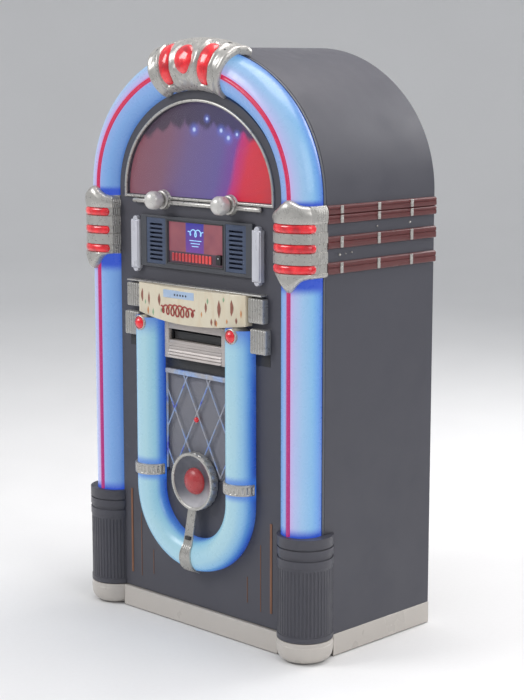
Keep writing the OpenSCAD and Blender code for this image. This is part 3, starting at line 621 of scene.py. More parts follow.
def title_material():
    """Cream card with faint upright brown streaks."""
    n = Nodes("cream_title")
    ground = n.mix(n.noise(14.0, 4.0), srgb(202, 192, 168), srgb(218, 210, 190))
    streak = n.noise(60.0, 3.0, n.stretched(1.0, 1.0, 0.12))
    ground = n.mix(n.span(streak, 0.52, 0.75, 0.0, 0.35), ground, srgb(196, 170, 132))
    n.set(Base_Color=ground, Coat_Weight=0.3, Emission_Color=ground, Emission_Strength=0.06)
    n.set(Roughness=n.span(n.noise(60.0), 0.3, 0.7, 0.28, 0.44))
    n.bump(n.noise(300.0, 2.0), 0.00006)
    return n.material


def cloth_material():
    """Grey woven cloth."""
    n = Nodes("grille_cloth")
    x, y, z = n.axes()
    warp = n.math("SINE", n.times(x, 3200.0))
    weft = n.math("SINE", n.times(z, 3200.0))
    weave = n.times(n.plus(n.times(warp, weft), 1.0), 0.5)
    tone = n.mix(weave, srgb(96, 96, 104), srgb(142, 142, 148))
    tone = n.mix(n.span(n.noise(9.0, 4.0), 0.3, 0.7, 0.0, 0.4), tone, srgb(104, 106, 122))
    n.set(Base_Color=tone, Roughness=0.85, Sheen_Weight=0.3)
    n.bump(weave, 0.0003)
    return n.material


def glass_material():
    """Clear dome glass with faint dust."""
    n = Nodes("dome_glass")
    n.set(Base_Color=(0.10, 0.10, 0.12, 1.0), IOR=1.2, Alpha=0.04, Specular_IOR_Level=0.2)
    n.set(Roughness=n.span(n.noise(18.0, 4.0), 0.4, 0.7, 0.05, 0.18))
    return n.material


def disc_material():
    """Reflective disc with rainbow bands that run out from the middle."""
    n = Nodes("disc_rainbow")
    bands = n.noise(9.0, 2.0, n.stretched(3.0, 3.0, 0.6))
    tone = n.ramp(bands, (0.2, (0.55, 0.62, 0.85)), (0.45, (0.75, 0.78, 0.80)), (0.6, (0.80, 0.66, 0.75)),
                  (0.8, (0.60, 0.78, 0.70)))
    n.set(Base_Color=tone, Metallic=0.9)
    n.set(Roughness=n.span(n.noise(60.0), 0.3, 0.7, 0.12, 0.22))
    return n.material


def sleeve_colour(n):
    """Slanting bands of colour on the sleeves round the lamps."""
    x, y, z = n.axes()
    turn = n.times(z, 26.0)
    return n.ramp(n.math("FRACT", turn), (0.0, srgb(90, 150, 240)), (0.3, srgb(190, 120, 230)),
                  (0.6, srgb(90, 210, 230)), (1.0, srgb(90, 150, 240)))


jewel = jewel_material()
tube_blue = glow("tube_blue", outer_tube_colour, 0.74, 0.30, 0.16)
tube_crimson = glow("tube_crimson", stripe_colour, 0.74, 0.24, 0.2)
tube_cyan = glow("tube_cyan", u_tube_colour, 0.80, 0.30, 0.16)
dome_light = glow("dome_light", dome_colour, 0.92, 0.5, 0.12)
screen_light = glow("screen_light", screen_colour, 0.80, 0.4, 0.15)
sleeve_light = glow("sleeve_light", sleeve_colour, 0.5)
def digit_colour(n):
    side = n.mix(n.span(n.axes()[0], -0.08, 0.05), srgb(130, 44, 52), srgb(226, 84, 74))
    return n.mix(n.noise(24.0), side, srgb(214, 60, 60))


digit_light = glow("digit_light", digit_colour, 0.75)
sign_light = glow("sign_light", lambda n: n.mix(n.noise(80.0), srgb(110, 190, 250), srgb(190, 230, 255)), 0.9)
label_blue = glow("label_blue", lambda n: n.mix(n.noise(40.0), srgb(156, 178, 208), srgb(176, 196, 220)),
                  0.45, 0.3, 0.5)
lamp_white = glow("lamp_white", lambda n: n.mix(n.noise(20.0), (0.85, 0.9, 1.0), (1.0, 1.0, 0.95)), 1.2)
title = title_material()
cloth = cloth_material()
glass = glass_material()
rainbow = disc_material()
slot_blue = surface("slot_blue", srgb(36, 46, 82), 0.5, mottle=0.2)
script_red = surface("script_red", srgb(160, 66, 60), 0.4, mottle=0.2)
fleck_brown = surface("fleck_brown", srgb(146, 92, 78), 0.4, mottle=0.35, patch=120.0)
fleck_orange = surface("fleck_orange", srgb(206, 142, 92), 0.4, mottle=0.3, patch=120.0)
fleck_green = surface("fleck_green", srgb(140, 178, 140), 0.4, mottle=0.3, patch=120.0)
coin_metal = surface("coin_metal", srgb(186, 178, 174), 0.36, metallic=0.25, mottle=0.14, patch=24.0,
                     stretch=(0.1, 1.0, 1.0))


def bowl_colour(n):
    """Painted shade at the top of the horn's bowl and a painted highlight low down where it catches the
    light.
    """
    x, y, z = n.axes()
    fall = n.minus(z, n.times(x, 0.35))
    tone = n.mix(n.span(fall, 0.318, 0.386, smooth=True), srgb(186, 184, 188), srgb(74, 76, 86))
    return n.mix(n.span(n.noise(40.0, 3.0), 0.4, 0.7, 0.0, 0.3), tone, srgb(120, 120, 130))


# The bowl also glows faintly, as more painted light.
bowl_painted_light = glow("bowl_painted_light", bowl_colour, 0.12, 0.4, 0.8)
horn_red = glow("horn_red", lambda n: n.mix(n.noise(46.0, 3.0), srgb(140, 36, 42), srgb(186, 66, 66)), 0.40,
                0.3, 0.6)
# Silver lattice strands that glow a little, with painted blue reflections of the lit tubes.
strand_painted_glints = glow("strand_painted_glints", lambda n: n.ramp(n.noise(26.0, 3.0), (0.42, srgb(160, 160, 166)),
                                                     (0.58, srgb(140, 164, 204)), (0.70, srgb(64, 72, 196))),
                                                     0.16, 0.3, 0.9)


# ---------- light tubes ----------

def tube_section():
    """The outer tube: an arc open to the door plate, with a groove for the stripe and a wall of 3 mm."""
    wall, lug, groove = 3 * MM, -19.5 * MM, STRIPE_R + 0.25 * MM
    back = 35.4 * MM
    outer_end = acos((TUBE_Y - back) / TUBE_R)
    inner_end = acos((TUBE_Y - back) / (TUBE_R - wall))
    outer, inner = [], []
    steps = 72
    for i in range(steps + 1):
        t = -outer_end + 2 * outer_end * i / steps
        a, y = TUBE_R * sin(t), TUBE_Y - TUBE_R * cos(t)
        if abs(a) < groove and cos(t) > 0:
            y = max(y, STRIPE_Y + sqrt(groove ** 2 - a ** 2))
        outer.append((a, y))
        t = inner_end - 2 * inner_end * i / steps
        a, y = (TUBE_R - wall) * sin(t), TUBE_Y - (TUBE_R - wall) * cos(t)
        if abs(a) < 11 * MM and cos(t) > 0:
            y = max(y, lug)
        inner.append((a, y))
    return outer, inner


def section_uv(mesh, outer_count):
    """Runs the fraction round over the outer face only."""
    layer = mesh.uv_layers["sweep"]
    total = outer_count * 2
    for loop in mesh.loops:
        j = loop.vertex_index % total
        u = layer.data[loop.index].uv[0]
        layer.data[loop.index].uv = (u, min(1.0, j / (outer_count - 1)))


def light_tubes():
    outer, inner = tube_section()
    path = arch_path(TUBE_R, SOCKET_TOP - 14 * MM, pi / 2 - 0.004)
    mesh = swept(path, outer + inner)
    section_uv(mesh, len(outer))
    pair("light_tubes", mesh, tube_blue,
                 ("outer_tubes",), smooth=50)
    steps = 14
    stripe = [(STRIPE_R * sin(2 * pi * i / steps), STRIPE_Y - STRIPE_R * cos(2 * pi * i / steps))
              for i in range(steps)]
    path = arch_path(TUBE_R, SOCKET_TOP + 1 * MM, pi / 2 - 0.004)
    pair("stripe_tubes", swept(path, stripe), tube_crimson,
                 ("bubble_tubes",), smooth=50)


def u_path():
    """Stations down the left leg, round the bend and up the right leg, as (point, outward direction)."""
    top, path = 790 * MM, []
    for i in range(20):
        path.append((Vector((-U_X, top - (top - U_Z) * i / 20)), Vector((-1.0, 0.0))))
    for i in range(49):
        t = pi * i / 48
        out = Vector((-cos(t), -sin(t)))
        path.append((Vector((0.0, U_Z)) + out * U_X, out))
    for i in range(1, 21):
        path.append((Vector((U_X, U_Z + (top - U_Z) * i / 20)), Vector((1.0, 0.0))))
    return path


def u_tube():
    """The U tube as a shell, its section an arc from the panel over the front and back."""
    wall, outer, inner, steps = 3 * MM, [], [], 48
    for i in range(steps + 1):
        t = -pi / 2 + pi * i / steps
        outer.append((U_R * sin(t), U_Y - U_R * cos(t)))
        inner.append(((U_R - wall) * sin(-t), U_Y - (U_R - wall) * cos(t)))
    outer = [(-U_R, -0.4 * MM)] + outer + [(U_R, -0.4 * MM)]
    inner = [(U_R - wall, -0.4 * MM)] + inner + [(-U_R + wall, -0.4 * MM)]
    path = u_path()
    mesh = swept(path, outer + inner)
    section_uv(mesh, len(outer))
    bore = [(0.0, -60 * MM), (19.6 * MM, -60 * MM), (19.6 * MM, 2 * MM), (0.0, 2 * MM)]
    for side in (-1, 1):
        mesh = without(mesh, turned(at(side * BUTTON_X, 0, BUTTON_Z), bore, steps=48))
    piece("u_light_tube", mesh, tube_cyan, ("u_tubes",), smooth=50)


# ---------- cabinet ----------

def cabinet_skin():
    """The arched cabinet as one bent sheet, open in front and behind."""
    wall = 18 * MM
    path = both_halves(arch_path(0.0, SHELL_FOOT, leg_steps=4, turn_steps=60))
    edge = 1.5 * MM
    y0, y1 = FRONT - FACE, BACK - FACE
    section = [(-edge, y0), (0.0, y0 + edge), (0.0, y1 - edge), (-edge, y1), (-wall, y1), (-wall, y0)]
    mesh = swept(path, section)
    piece("cabinet_skin", mesh, vinyl, ("cabinet_shell",), 30, "cabinet")


def feet_and_sockets():
    """Turned cream feet."""
    centre = at(344, 24, 0)
    profile = [(0.0, 2), (46, 2), (54, 4), (61, 9), (66, 17), (68.6, 28), (69, 40), (69, 44.6), (68, 45.6),
               (68.2, 56), (0.0, 56)]
    foot = turned(centre, profile, axis="z", steps=96)
    pair("front_feet_skin", foot, cream, ("front_feet",), 40, "cabinet")


# ---------- castings at the ends of the arch ----------

CAST_X, CAST_Y, CAST_R = 337, 20, 69
CAST_IN, CAST_OUT = 286.2, 396
CAST_TOP = ((286, 1088), (300, 1090), (316, 1098), (332, 1108), (346, 1112), (362, 1108), (378, 1101),
            (398, 1098))
CAST_FOOT = ((286, 938), (300, 936), (314, 928), (330, 910), (342, 900), (349, 897), (356, 900), (368, 912),
             (382, 925), (398, 931))
BARS = ((942, 963), (990, 1011), (1036, 1057))


def casting_outline():
    """Places round the casting from above, as (x, y, outward x, outward y, ripple) in millimetres."""
    first = asin((CAST_IN - CAST_X) / CAST_R)
    last = asin((CAST_OUT - CAST_X) / CAST_R)
    inner_y = CAST_Y - CAST_R * cos(first)
    outer_y = CAST_Y - CAST_R * cos(last)
    places = []
    for i in range(24):
        y = 6.0 + (inner_y - 6.0) * i / 24
        places.append((CAST_IN, y, -1.0, 0.0, 1.0))
    for i in range(49):
        t = first + (last - first) * i / 48
        places.append((CAST_X + CAST_R * sin(t), CAST_Y - CAST_R * cos(t), sin(t), -cos(t), 0.0))
    for i in range(1, 49):
        y = outer_y + (41.4 - outer_y) * i / 48
        places.append((CAST_OUT, y, 1.0, 0.0, 1.0 if y > 5 else 0.0))
    return places


def casting_heights(foot, top):
    """Heights up the outer face, with more of them at the edges and beside the bars."""
    stops = [foot]
    stops += [foot + (941.5 - foot) * (i / 14) ** 1.5 for i in range(1, 15)]
    for k, (low, high) in enumerate(BARS):
        stops += [low + 0.6, (low + high) / 2, high - 0.6, high + 0.6]
        if k < 2:
            stops += [high + 0.6 + (BARS[k + 1][0] - high - 1.2) * i / 7 for i in range(1, 8)]
    low = BARS[2][1] + 0.6
    stops += [low + (top - low) * (1 - (1 - i / 18) ** 1.5) for i in range(1, 19)]
    return stops


def casting_relief(z, foot, top):
    """How far the outer face stands out from its plain outline at a height."""
    for low, high in BARS:
        if low < z < high:
            return -3.5
    if z < BARS[0][0]:
        part = (z - foot) / (BARS[0][0] - foot)
        return 3.0 * sin(pi * min(1.0, part * 0.9)) - 12 * (1 - rounding(z - foot, 15))
    if z > BARS[2][1]:
        part = (z - BARS[2][1]) / (top - BARS[2][1])
        return 3.4 * sin(pi * part) ** 0.8 - 13 * (1 - rounding(top - z, 20))
    return 1.4


def side_casting():
    rings = []
    for x, y, nx, ny, ripple in casting_outline():
        foot, top = through(CAST_FOOT, x), through(CAST_TOP, x)
        reach = sqrt(max(0.0, (CAST_R - 17.4) ** 2 - (y - CAST_Y) ** 2))
        inner_x = CAST_X - reach if nx == -1.0 else min(388.4, CAST_X + reach)
        inner_y = y
        if y > CAST_Y:
            inner_x = 388.4
        if ny:
            inner_x, inner_y = x - nx * 17.4, y - ny * 17.4
            inner_x = min(inner_x, 388.4)
        groove = 1.5 * ripple * (0.5 - 0.5 * cos(2 * pi * y / 7.2))
        ring = [at(inner_x, inner_y, foot)]
        limit = 0.85 * hypot(x - inner_x, y - inner_y)
        for z in casting_heights(foot, top):
            relief = casting_relief(z, foot, top)
            scale = 0.5 if nx == 1.0 else 1.0
            off = max(-limit, relief * scale - groove)
            ring.append(at(x + nx * off, y + ny * off, z))
        ring.append(at(inner_x, inner_y, top))
        rings.append(ring)
    return loft(rings)


def red_bar(low, high):
    """A rounded red bar laid in its seat round the casting."""
    places = [p for p in casting_outline() if p[3] or (p[0] == CAST_OUT and p[1] < 4)]
    places = [p for p in places if p[0] > 290]
    run, lengths = 0.0, [0.0]
    for a, b in zip(places, places[1:]):
        run += hypot(b[0] - a[0], b[1] - a[1])
        lengths.append(run)
    rings, middle, half = [], (low + high) / 2, (high - low) / 2 - 0.5
    for (x, y, nx, ny, _), length in zip(places, lengths):
        size = max(0.06, rounding(min(length, run - length), 8))
        depth = 7.0 * size
        ring = []
        for k in range(20):
            t = 2 * pi * k / 20
            c, s = cos(t), sin(t)
            out = -4.6 + depth * copysign(abs(c) ** 0.8, c)
            ring.append(at(x + nx * out, y + ny * out, middle + half * size * copysign(abs(s) ** 0.8, s)))
        rings.append(ring)
    return loft(rings)


def side_castings():
    right = side_casting()
    piece("side_casting_left_skin", mirrored(right), cast,
                 ("side_casting_left",), smooth=50)
    piece("side_casting_right_skin", right, cast, ("side_casting_right",), smooth=50)
    pair("side_jewels", joined([red_bar(low, high) for low, high in BARS]), jewel,
         smooth=60)


# ---------- crown ----------

CROWN_A = 19.6
CROWN_R = 66.5
CROWN_AT = (8, -20)
CROWN_BACK = -31
BAR_A, BAR_HALF = 10.4, 2.9
BAR_SPAN = (24, 132)
GEM_PHI, GEM_HALF, GEM_TALL = 75, 4.6, 34


def crown_point(turn, phi, radius):
    """A place on the crown: turn in degrees from the top, phi round the section from outward to forward."""
    a, p = radians(turn), radians(phi)
    outward = CROWN_AT[0] + radius * cos(p)
    forward = CROWN_AT[1] + radius * sin(p)
    run = TOP_R - TUBE_R + outward * MM
    return Vector((run * sin(a), FACE - forward * MM, TOP_CENTRE + run * cos(a)))


def crown_relief(turn, phi):
    """The crown's ridges, seats and rolled ends, in millimetres out from its plain surface."""
    side = abs(turn)
    along = rounding(phi - BAR_SPAN[0] + 12, 24) * rounding(BAR_SPAN[1] + 12 - phi, 24)
    ridges = hill(side, BAR_A - BAR_HALF - 0.9, 0.7) + hill(side, BAR_A + BAR_HALF + 0.9, 0.7)
    seat = rounding(BAR_HALF + 0.2 - abs(side - BAR_A),
                    0.5) * (1.0 if BAR_SPAN[0] < phi < BAR_SPAN[1] else 0.0)
    gem = hypot(turn / (GEM_HALF + 1.2), (phi - GEM_PHI) / (GEM_TALL + 8))
    collar = hill(gem, 1.0, 0.16)
    roll = 2.0 * hill(side, CROWN_A - 1.2, 0.9)
    edge = -7.0 * (1 - rounding(CROWN_A - side, 0.9))
    lumps = 0.7 * sin(phi * 0.21 + turn * 0.9) * sin(turn * 0.7 + 1.0)
    dents = 2.6 * hill(side, 15.2, 1.0) * hill(phi, 96, 34) + 2.0 * hill(side, 5.4, 0.8) * hill(phi, 118, 16)
    return 2.8 * ridges * along - 4.4 * seat + 2.2 * collar + roll + edge + lumps - dents


def crown_foot(turn):
    """How far round the section the crown's lower edge hangs: a tip at each end and a notch inside it."""
    side = abs(turn)
    return 160.0 + 4.5 * hill(side, 17.0, 2.2) - 5.0 * hill(side, 13.6, 1.1) + 2.0 * hill(side, 10.5, 1.6)


def crown():
    rings = []
    stations, rounds = 108, 84
    for i in range(stations + 1):
        turn = -CROWN_A + 2 * CROWN_A * i / stations
        foot = crown_foot(turn)
        hollow = 8.0 * rounding(abs(turn) - (CROWN_A - 4.0), 4.0) if abs(turn) > CROWN_A - 4.0 else 0.0
        outer, inner = [], []
        for k in range(rounds + 1):
            phi = CROWN_BACK + (foot - CROWN_BACK) * k / rounds
            radius = CROWN_R + crown_relief(turn, phi)
            ends = min(rounding(phi - CROWN_BACK, 8), rounding(foot - phi, 9))
            radius -= 7.0 * (1 - ends)
            outer.append(crown_point(turn, phi, radius))
            inner.append(crown_inner(turn, phi, hollow, radius))
        rings.append(outer + inner[::-1])
    mesh = loft(rings)
    piece("crown_skin", mesh, cast, ("crown_casting",), smooth=55)


def crown_inner(turn, phi, hollow, radius):
    """The inner face: round the tube, and flat over the front edge of the cabinet."""
    p = radians(phi)
    gap = 51.8 + hollow * max(0.0, sin(radians(min(90.0, max(0.0, 130 - phi)))))
    outward, forward = gap * cos(p), -20 + gap * sin(p)
    if phi < 8:
        outward = 53.6 + hollow * 0.4
        forward = CROWN_AT[1] + radius * sin(p) + 1.0
    away = min(radius - 2.5, hypot(outward - CROWN_AT[0], forward - CROWN_AT[1]))
    angle = degrees(atan2(forward - CROWN_AT[1], outward - CROWN_AT[0]))
    return crown_point(turn, angle, away)


def crown_gem(turn, phi, half_turn, half_phi, height, power, pinch):
    """A pillow of red plastic in a seat of the crown, with a superellipse outline."""
    rings = []
    rows, steps = 12, 44
    for i in range(rows + 1):
        part = sin(pi / 2 * i / rows)
        ring = []
        for k in range(steps):
            t = 2 * pi * k / steps
            c, s = cos(t), sin(t)
            v = part * copysign(abs(s) ** (2 / power), s)
            u = part * copysign(abs(c) ** (2 / power), c) * (1 - pinch * v * v)
            rise = height * sqrt(max(0.0, 1 - part ** 2.6))
            ring.append(crown_point(turn + half_turn * u, phi + half_phi * v, CROWN_R - 3.6 + rise))
        rings.append(ring)
    base = [crown_point(turn + half_turn * 0.9 * cos(2 * pi * k / steps),
                        phi + half_phi * 0.9 * sin(2 * pi * k / steps), CROWN_R - 8.0) for k in range(steps)]
    mesh = loft(rings[1:] + [base])
    return mesh


def crown_gems():
    middle, half = sum(BAR_SPAN) / 2, (BAR_SPAN[1] - BAR_SPAN[0]) / 2
    gems = [crown_gem(s * BAR_A, middle, BAR_HALF, half - 1, 7.4, 3.6, 0.12) for s in (-1, 1)]
    gems.append(crown_gem(0.0, GEM_PHI, GEM_HALF, GEM_TALL, 11.5, 2.2, 0.18))
    piece("crown_jewels", gems, jewel)
    # Dark patches flush with the crown, painted as the shade inside the holes of its ornament.
    hole_shades = [crown_gem(s * a, p, h, v, 3.9, 2.2, 0.2) for s in (-1, 1)
             for a, p, h, v in ((13.9, 6, 1.5, 5.0), (16.3, 36, 0.9, 4.5))]
    piece("crown_hole_shades", hole_shades, moulded)


# ---------- window, knobs and display ----------

def arch_sheet(off, foot, y, thick):
    """A flat sheet with the outline of the arch."""
    outline = [p for p, _ in both_halves(arch_path(off * MM, foot * MM, leg_steps=2, turn_steps=44))]
    count = len(outline)
    verts = [Vector((p.x, FACE + y * MM, p.y)) for p in outline]
    verts += [Vector((p.x, FACE + (y + thick) * MM, p.y)) for p in outline]
    faces = [tuple(range(count)), tuple(range(2 * count - 1, count - 1, -1))]
    faces += [(i, (i + 1) % count, count + (i + 1) % count, count + i) for i in range(count)]
    return mesh_from(verts, faces)


def window():
    piece("dome_picture", arch_sheet(131.8, 1095.3, 8, 3),
                 dome_light, ("dome_backdrop",), smooth=40)
    piece("dome_pane", arch_sheet(131.8, 1095.3, 2, 2.5), glass,
                 ("dome_glass",), smooth=40)


KNOB = ((0.0, -57.6), (7.0, -57.2), (13.0, -55.4), (18.0, -52.0), (21.6, -47.0), (23.4, -41.0), (23.8, -35.0),
        (22.6, -28.0), (20.0, -22.0), (17.0, -17.6), (13.0, -15.4), (7.0, -14.8), (0.0, -14.8))


def knob(name, node, side):
    """A bulb-shaped knob with four shallow finger grooves round it."""
    rings = []
    for i in range(97):
        t = 2 * pi * i / 96
        ring = []
        for r, y in KNOB:
            grip = 1 - 0.05 * hill(y, -38, 10) * (0.5 + 0.5 * cos(8 * t))
            ring.append(at(side * KNOB_X + r * grip * cos(t), y, KNOB_Z + r * grip * sin(t)))
        rings.append(ring)
    bulb = loft(rings, caps=False)
    weld(bulb)
    shaft = turned(at(side * KNOB_X, 0, KNOB_Z), [(0.0, -15.4), (6, -15.4), (6, 30), (0.0, 30)], steps=32)
    piece(name, [bulb, shaft], pearl, (node,), 60, node)


def sill():
    """The frame round the window, the sill rod and the collars behind the knobs."""
    path = both_halves(arch_path(124 * MM, 1087 * MM, leg_steps=3, turn_steps=60))
    section = [(-7 * MM, -0.2 * MM), (-7 * MM, -3 * MM), (-5.8 * MM, -4.6 * MM), (-3.5 * MM, -5 * MM),
               (-1.2 * MM, -4.6 * MM), (0.0, -3 * MM), (0.0, -0.2 * MM)]
    frame_round = swept(path, section)
    parts = [frame_round, box((-264, -5, 1087), (264, -0.2, 1094), 2)]
    for low, high in ((-223, -146), (-90, 90), (146, 223)):
        parts.append(rod(at(low, -7, 1080), at(high, -7, 1080), 5.6 * MM, steps=20))
    for side in (-1, 1):
        profile = [(7, -12.6), (14, -13.4), (19, -13.8), (22.4, -13), (24, -10.4), (23, -7.4), (22, -5.6),
                   (23.6, -3),
                   (25, -0.2), (7, -0.2)]
        parts.append(turned(at(side * KNOB_X, 0, KNOB_Z), profile, steps=64))
        parts.append(box((side * 217 - 5, -6, 1074), (side * 217 + 5, -0.2, 1086), 1.5))
    piece("sill_skin", parts, cast, ("dome_trim",), smooth=50)


def loops(low, high, middle, face, count, size, thickness, taper=0.35):
    """An ornamental line of round loops, larger in the middle, laid on a face whose y depends on x."""
    points = []
    steps = count * 20
    for i in range(steps + 1):
        t = i / steps
        turn = 2 * pi * count * t
        reach = size * (taper + (1 - taper) * sin(pi * t))
        x = low + (high - low) * t + 0.75 * reach * sin(turn)
        points.append(at(x, face(x), middle + reach * cos(turn)))
    return tube_along(points, thickness * MM)


def display():
    sign = [loops(-27, 27, 1010, lambda x: -5.8, 3, 9, 1.3)]
    sign += [box((-22 + i * 4, -5.9, 990 - i * 7), (20 - i * 5, -5.1, 992 - i * 7), 0.3)
             for i in range(3)]
    piece("sign_light", sign,
                 sign_light)
    bars = [box((-84 + i * 12, -8.2, 937), (-76 + i * 12, -5.2, 957), 1.2) for i in range(12)]
    piece("digit_bars", bars, digit_light)
    spot = turned(at(84, -11, 954), [(0.0, -0.5), (1.6, -0.4), (2.0, 0.2), (0.0, 0.2)],
                  steps=20)
    piece("key_spot", spot, bar_white, body="cancel_key")
    edges = []
    for low, high, z0, z1 in ((-101, 101, 1035, 1038), (-101, 101, 928, 931)):
        edges.append(box((low, -10, z0), (high, -8.6, z1), 0.6))
    for x in (-101, 98):
        edges.append(box((x, -10, 928), (x + 3, -8.6, 1038), 0.6))
    piece("screen_edges", edges, moulded)


# ---------- title panel, blocks and coin unit ----------

TITLE_ARC = (191 ** 2 + 18 ** 2) / 36
BROWN_FLECKS = ((-174, 844, 34, 10), (-144, 838, 34, 7), (-100, 840, 32, 10), (70, 836, 26, 7),
                (112, 836, 44, 11),
                (150, 842, 40, 12), (164, 812, 16, 6), (88, 802, 18, 6), (100, 802, 20, 5))
ORANGE_FLECKS = ((-148, 808, 22, 6), (-60, 826, 10, 4), (104, 800, 16, 5), (56, 818, 14, 4),
                 (136, 808, 12, 5),
                 (178, 830, 20, 5))
GREEN_FLECKS = ((-126, 806, 18, 6), (-92, 814, 14, 4), (76, 852, 14, 5), (126, 860, 12, 5),
                (-160, 828, 12, 4))


def title_face(x):
    return -42 + TITLE_ARC - sqrt(TITLE_ARC ** 2 - x ** 2)


def fleck(x, z, tall, wide):
    """A spindle-shaped mark that stands a little off the title panel."""
    half = [(sin(pi * i / 10) ** 1.2 * wide / 2, tall * (i / 10 - 0.5)) for i in range(11)]
    outline = half + [(-w, h) for w, h in reversed(half[1:-1])]
    y = title_face(x)
    front = [at(x + w, y - 0.5, z + h) for w, h in outline]
    back = [at(x + w, y + 0.6, z + h) for w, h in outline]
    return loft([front, back])


def title_marks():
    for name, marks, tone in (("flecks_brown", BROWN_FLECKS, fleck_brown),
                              ("flecks_orange", ORANGE_FLECKS, fleck_orange),
                              ("flecks_green", GREEN_FLECKS, fleck_green)):
        piece(name, [fleck(*m) for m in marks], tone, smooth=30)
    low, high = -80, 30
    label = box((low, title_face(0) - 0.3, 849), (high, title_face(low) + 3, 868), 0.6)
    piece("label_window", label, label_blue)
    dots = []
    for i in range(5):
        x = -38 + i * 10
        face = title_face(0) - 0.3
        dots.append(turned(at(x, face, 857.5), [(0.0, -0.4), (2.6, -0.4), (2.6, 0.4), (0.0, 0.4)],
                           steps=16))
    piece("label_dots", dots, moulded, smooth=30)
    scroll = loops(-92, 34, 818, lambda x: title_face(x) - 0.3, 7, 14, 2.1, 0.55)
    piece("title_scroll", scroll, script_red)


def ribbed_block(x0, x1, z0, z1, depth):
    """A block with rounded upright ribs on its face and softened ends."""
    rings, levels = [], 12
    for i in range(levels + 1):
        z = z0 + (z1 - z0) * i / levels if 2 < i < levels - 2 else None
        step = i if i <= 2 else levels - i
        if z is None:
            z = z0 + (0.0, 1.2, 4.0)[step] if i <= 2 else z1 - (0.0, 1.2, 4.0)[step]
        pull = 3.2 * (1 - rounding(min(z - z0, z1 - z), 4.0))
        ring = [at(x0 + pull * 0.6, -0.2, z)]
        count = 96
        for k in range(count + 1):
            x = x0 + (x1 - x0) * k / count
            edge = rounding(min(x - x0, x1 - x), 3.5)
            rib = 3.4 * abs(cos(pi * (x - x0) / (x1 - x0) * 6)) ** 3 if 2 < k < count - 2 else 1.0
            ring.append(at(x0 + pull * 0.6 + (x1 - x0 - pull * 1.2) * k / count,
                           -(depth - 3.5) * 1.0 - 3.5 * edge + rib + pull, z))
        ring.append(at(x1 - pull * 0.6, -0.2, z))
        rings.append(ring)
    return loft(rings)


def blocks():
    right = joined([ribbed_block(193, 243, 810, 870, 20), ribbed_block(199, 252, 736, 796, 20)])
    cup = [(15.6, -9), (15.6, -48.6), (16.6, -50), (18.4, -49.6), (19.4, -48), (19.4, -44), (19, -40),
           (19, -0.2),
           (15.6, -0.2)]
    cups = turned(at(BUTTON_X, 0, BUTTON_Z), cup, steps=48)
    pair("end_block_skins", joined([right, cups]), cast, ("end_blocks",), smooth=50)
    ledge = box((-240, -21, 875.2), (240, -0.2, 879), 1.2)
    piece("title_ledge", ledge, cast, smooth=50)
    # Thin dark sheets painted as the shadows below the lower end blocks and the shadow band below the coin
    # unit.
    shade = [box((s * 226 - 25, -0.9, 706), (s * 226 + 25, -0.1, 735), 0.3) for s in (-1, 1)]
    shade.append(box((-112, -1.2, 664), (112, -0.1, 689), 0.3))
    piece("painted_shadow_sheets", shade, moulded, smooth=50)


def coin_unit():
    """Plate with a hooded slot above a ramp of sloping louvres, between raised cheeks."""
    parts = [box((-110, -12, 690), (-94, -0.2, 784), 2.5),
             box((94, -12, 690), (110, -0.2, 784), 2.5),
             box((-96, -10.5, 765), (96, 7.6, 784), 1.5),
             box((-96, -10, 728), (96, 35, 736.6), 1.5),
             box((-103, 0.2, 697), (103, 34, 727), 1.5)]
    for i in range(5):
        z = 691 + i * 7.6
        ring = [(-1, z), (-14 + i * 0.6, z + 1.0), (-14.4 + i * 0.6, z + 2.4), (-10.5, z + 7.4),
                (-1, z + 7.4)]
        parts.append(loft([[at(x, y, h) for y, h in ring] for x in (-94.5, 94.5)]))
    piece("coin_unit_skin", parts, coin_metal,
                 ("coin_housing",), smooth=40)
    slats = [box((s * 142 - 34, 2.4, 925), (s * 142 + 34, 3.9, 1039), 0.3) for s in (-1, 1)]
    piece("louvre_backs", slats, slot_blue, smooth=40)
    # Moulded black walls inside the slot and behind the ramp: the recess is painted dark as its shade.
    walls = [box((-96, 33, 728), (96, 35, 784), 0.4),
             box((-103, 0.4, 730), (-92, 34, 778), 1.0),
             box((92, 0.4, 730), (103, 34, 778), 1.0),
             box((-96, 8, 777), (96, 34, 779), 0.4)]
    piece("coin_walls", walls, moulded, smooth=40)


# ---------- U tube fittings, horn and lattice ----------

def clamp():
    """A ribbed band round a leg of the U tube, with a rolled rim above and below."""
    heights = ((385, 0), (385.8, 2.2), (388, 3.0), (390, 2.2), (390.8, 0.6), (407.2, 0.6), (408, 2.2),
               (410, 3.0),
               (412.2, 2.2), (413, 0))
    rings = []
    for i in range(97):
        t = radians(-83 + 166 * i / 96)
        rib = 2.2 * (0.5 + 0.5 * cos(26 * t))
        outer = []
        for z, swell in heights:
            r = 45.5 + swell + (rib if swell < 1.0 and 386 < z < 412 else 0.0)
            outer.append(at(161 + r * sin(t), min(-0.3, -5 - r * cos(t)), z))
        inner = [at(161 + 42.4 * sin(t), min(-0.3, -5 - 42.4 * cos(t)), z) for z in (413, 385)]
        rings.append(outer + inner)
    return loft(rings)


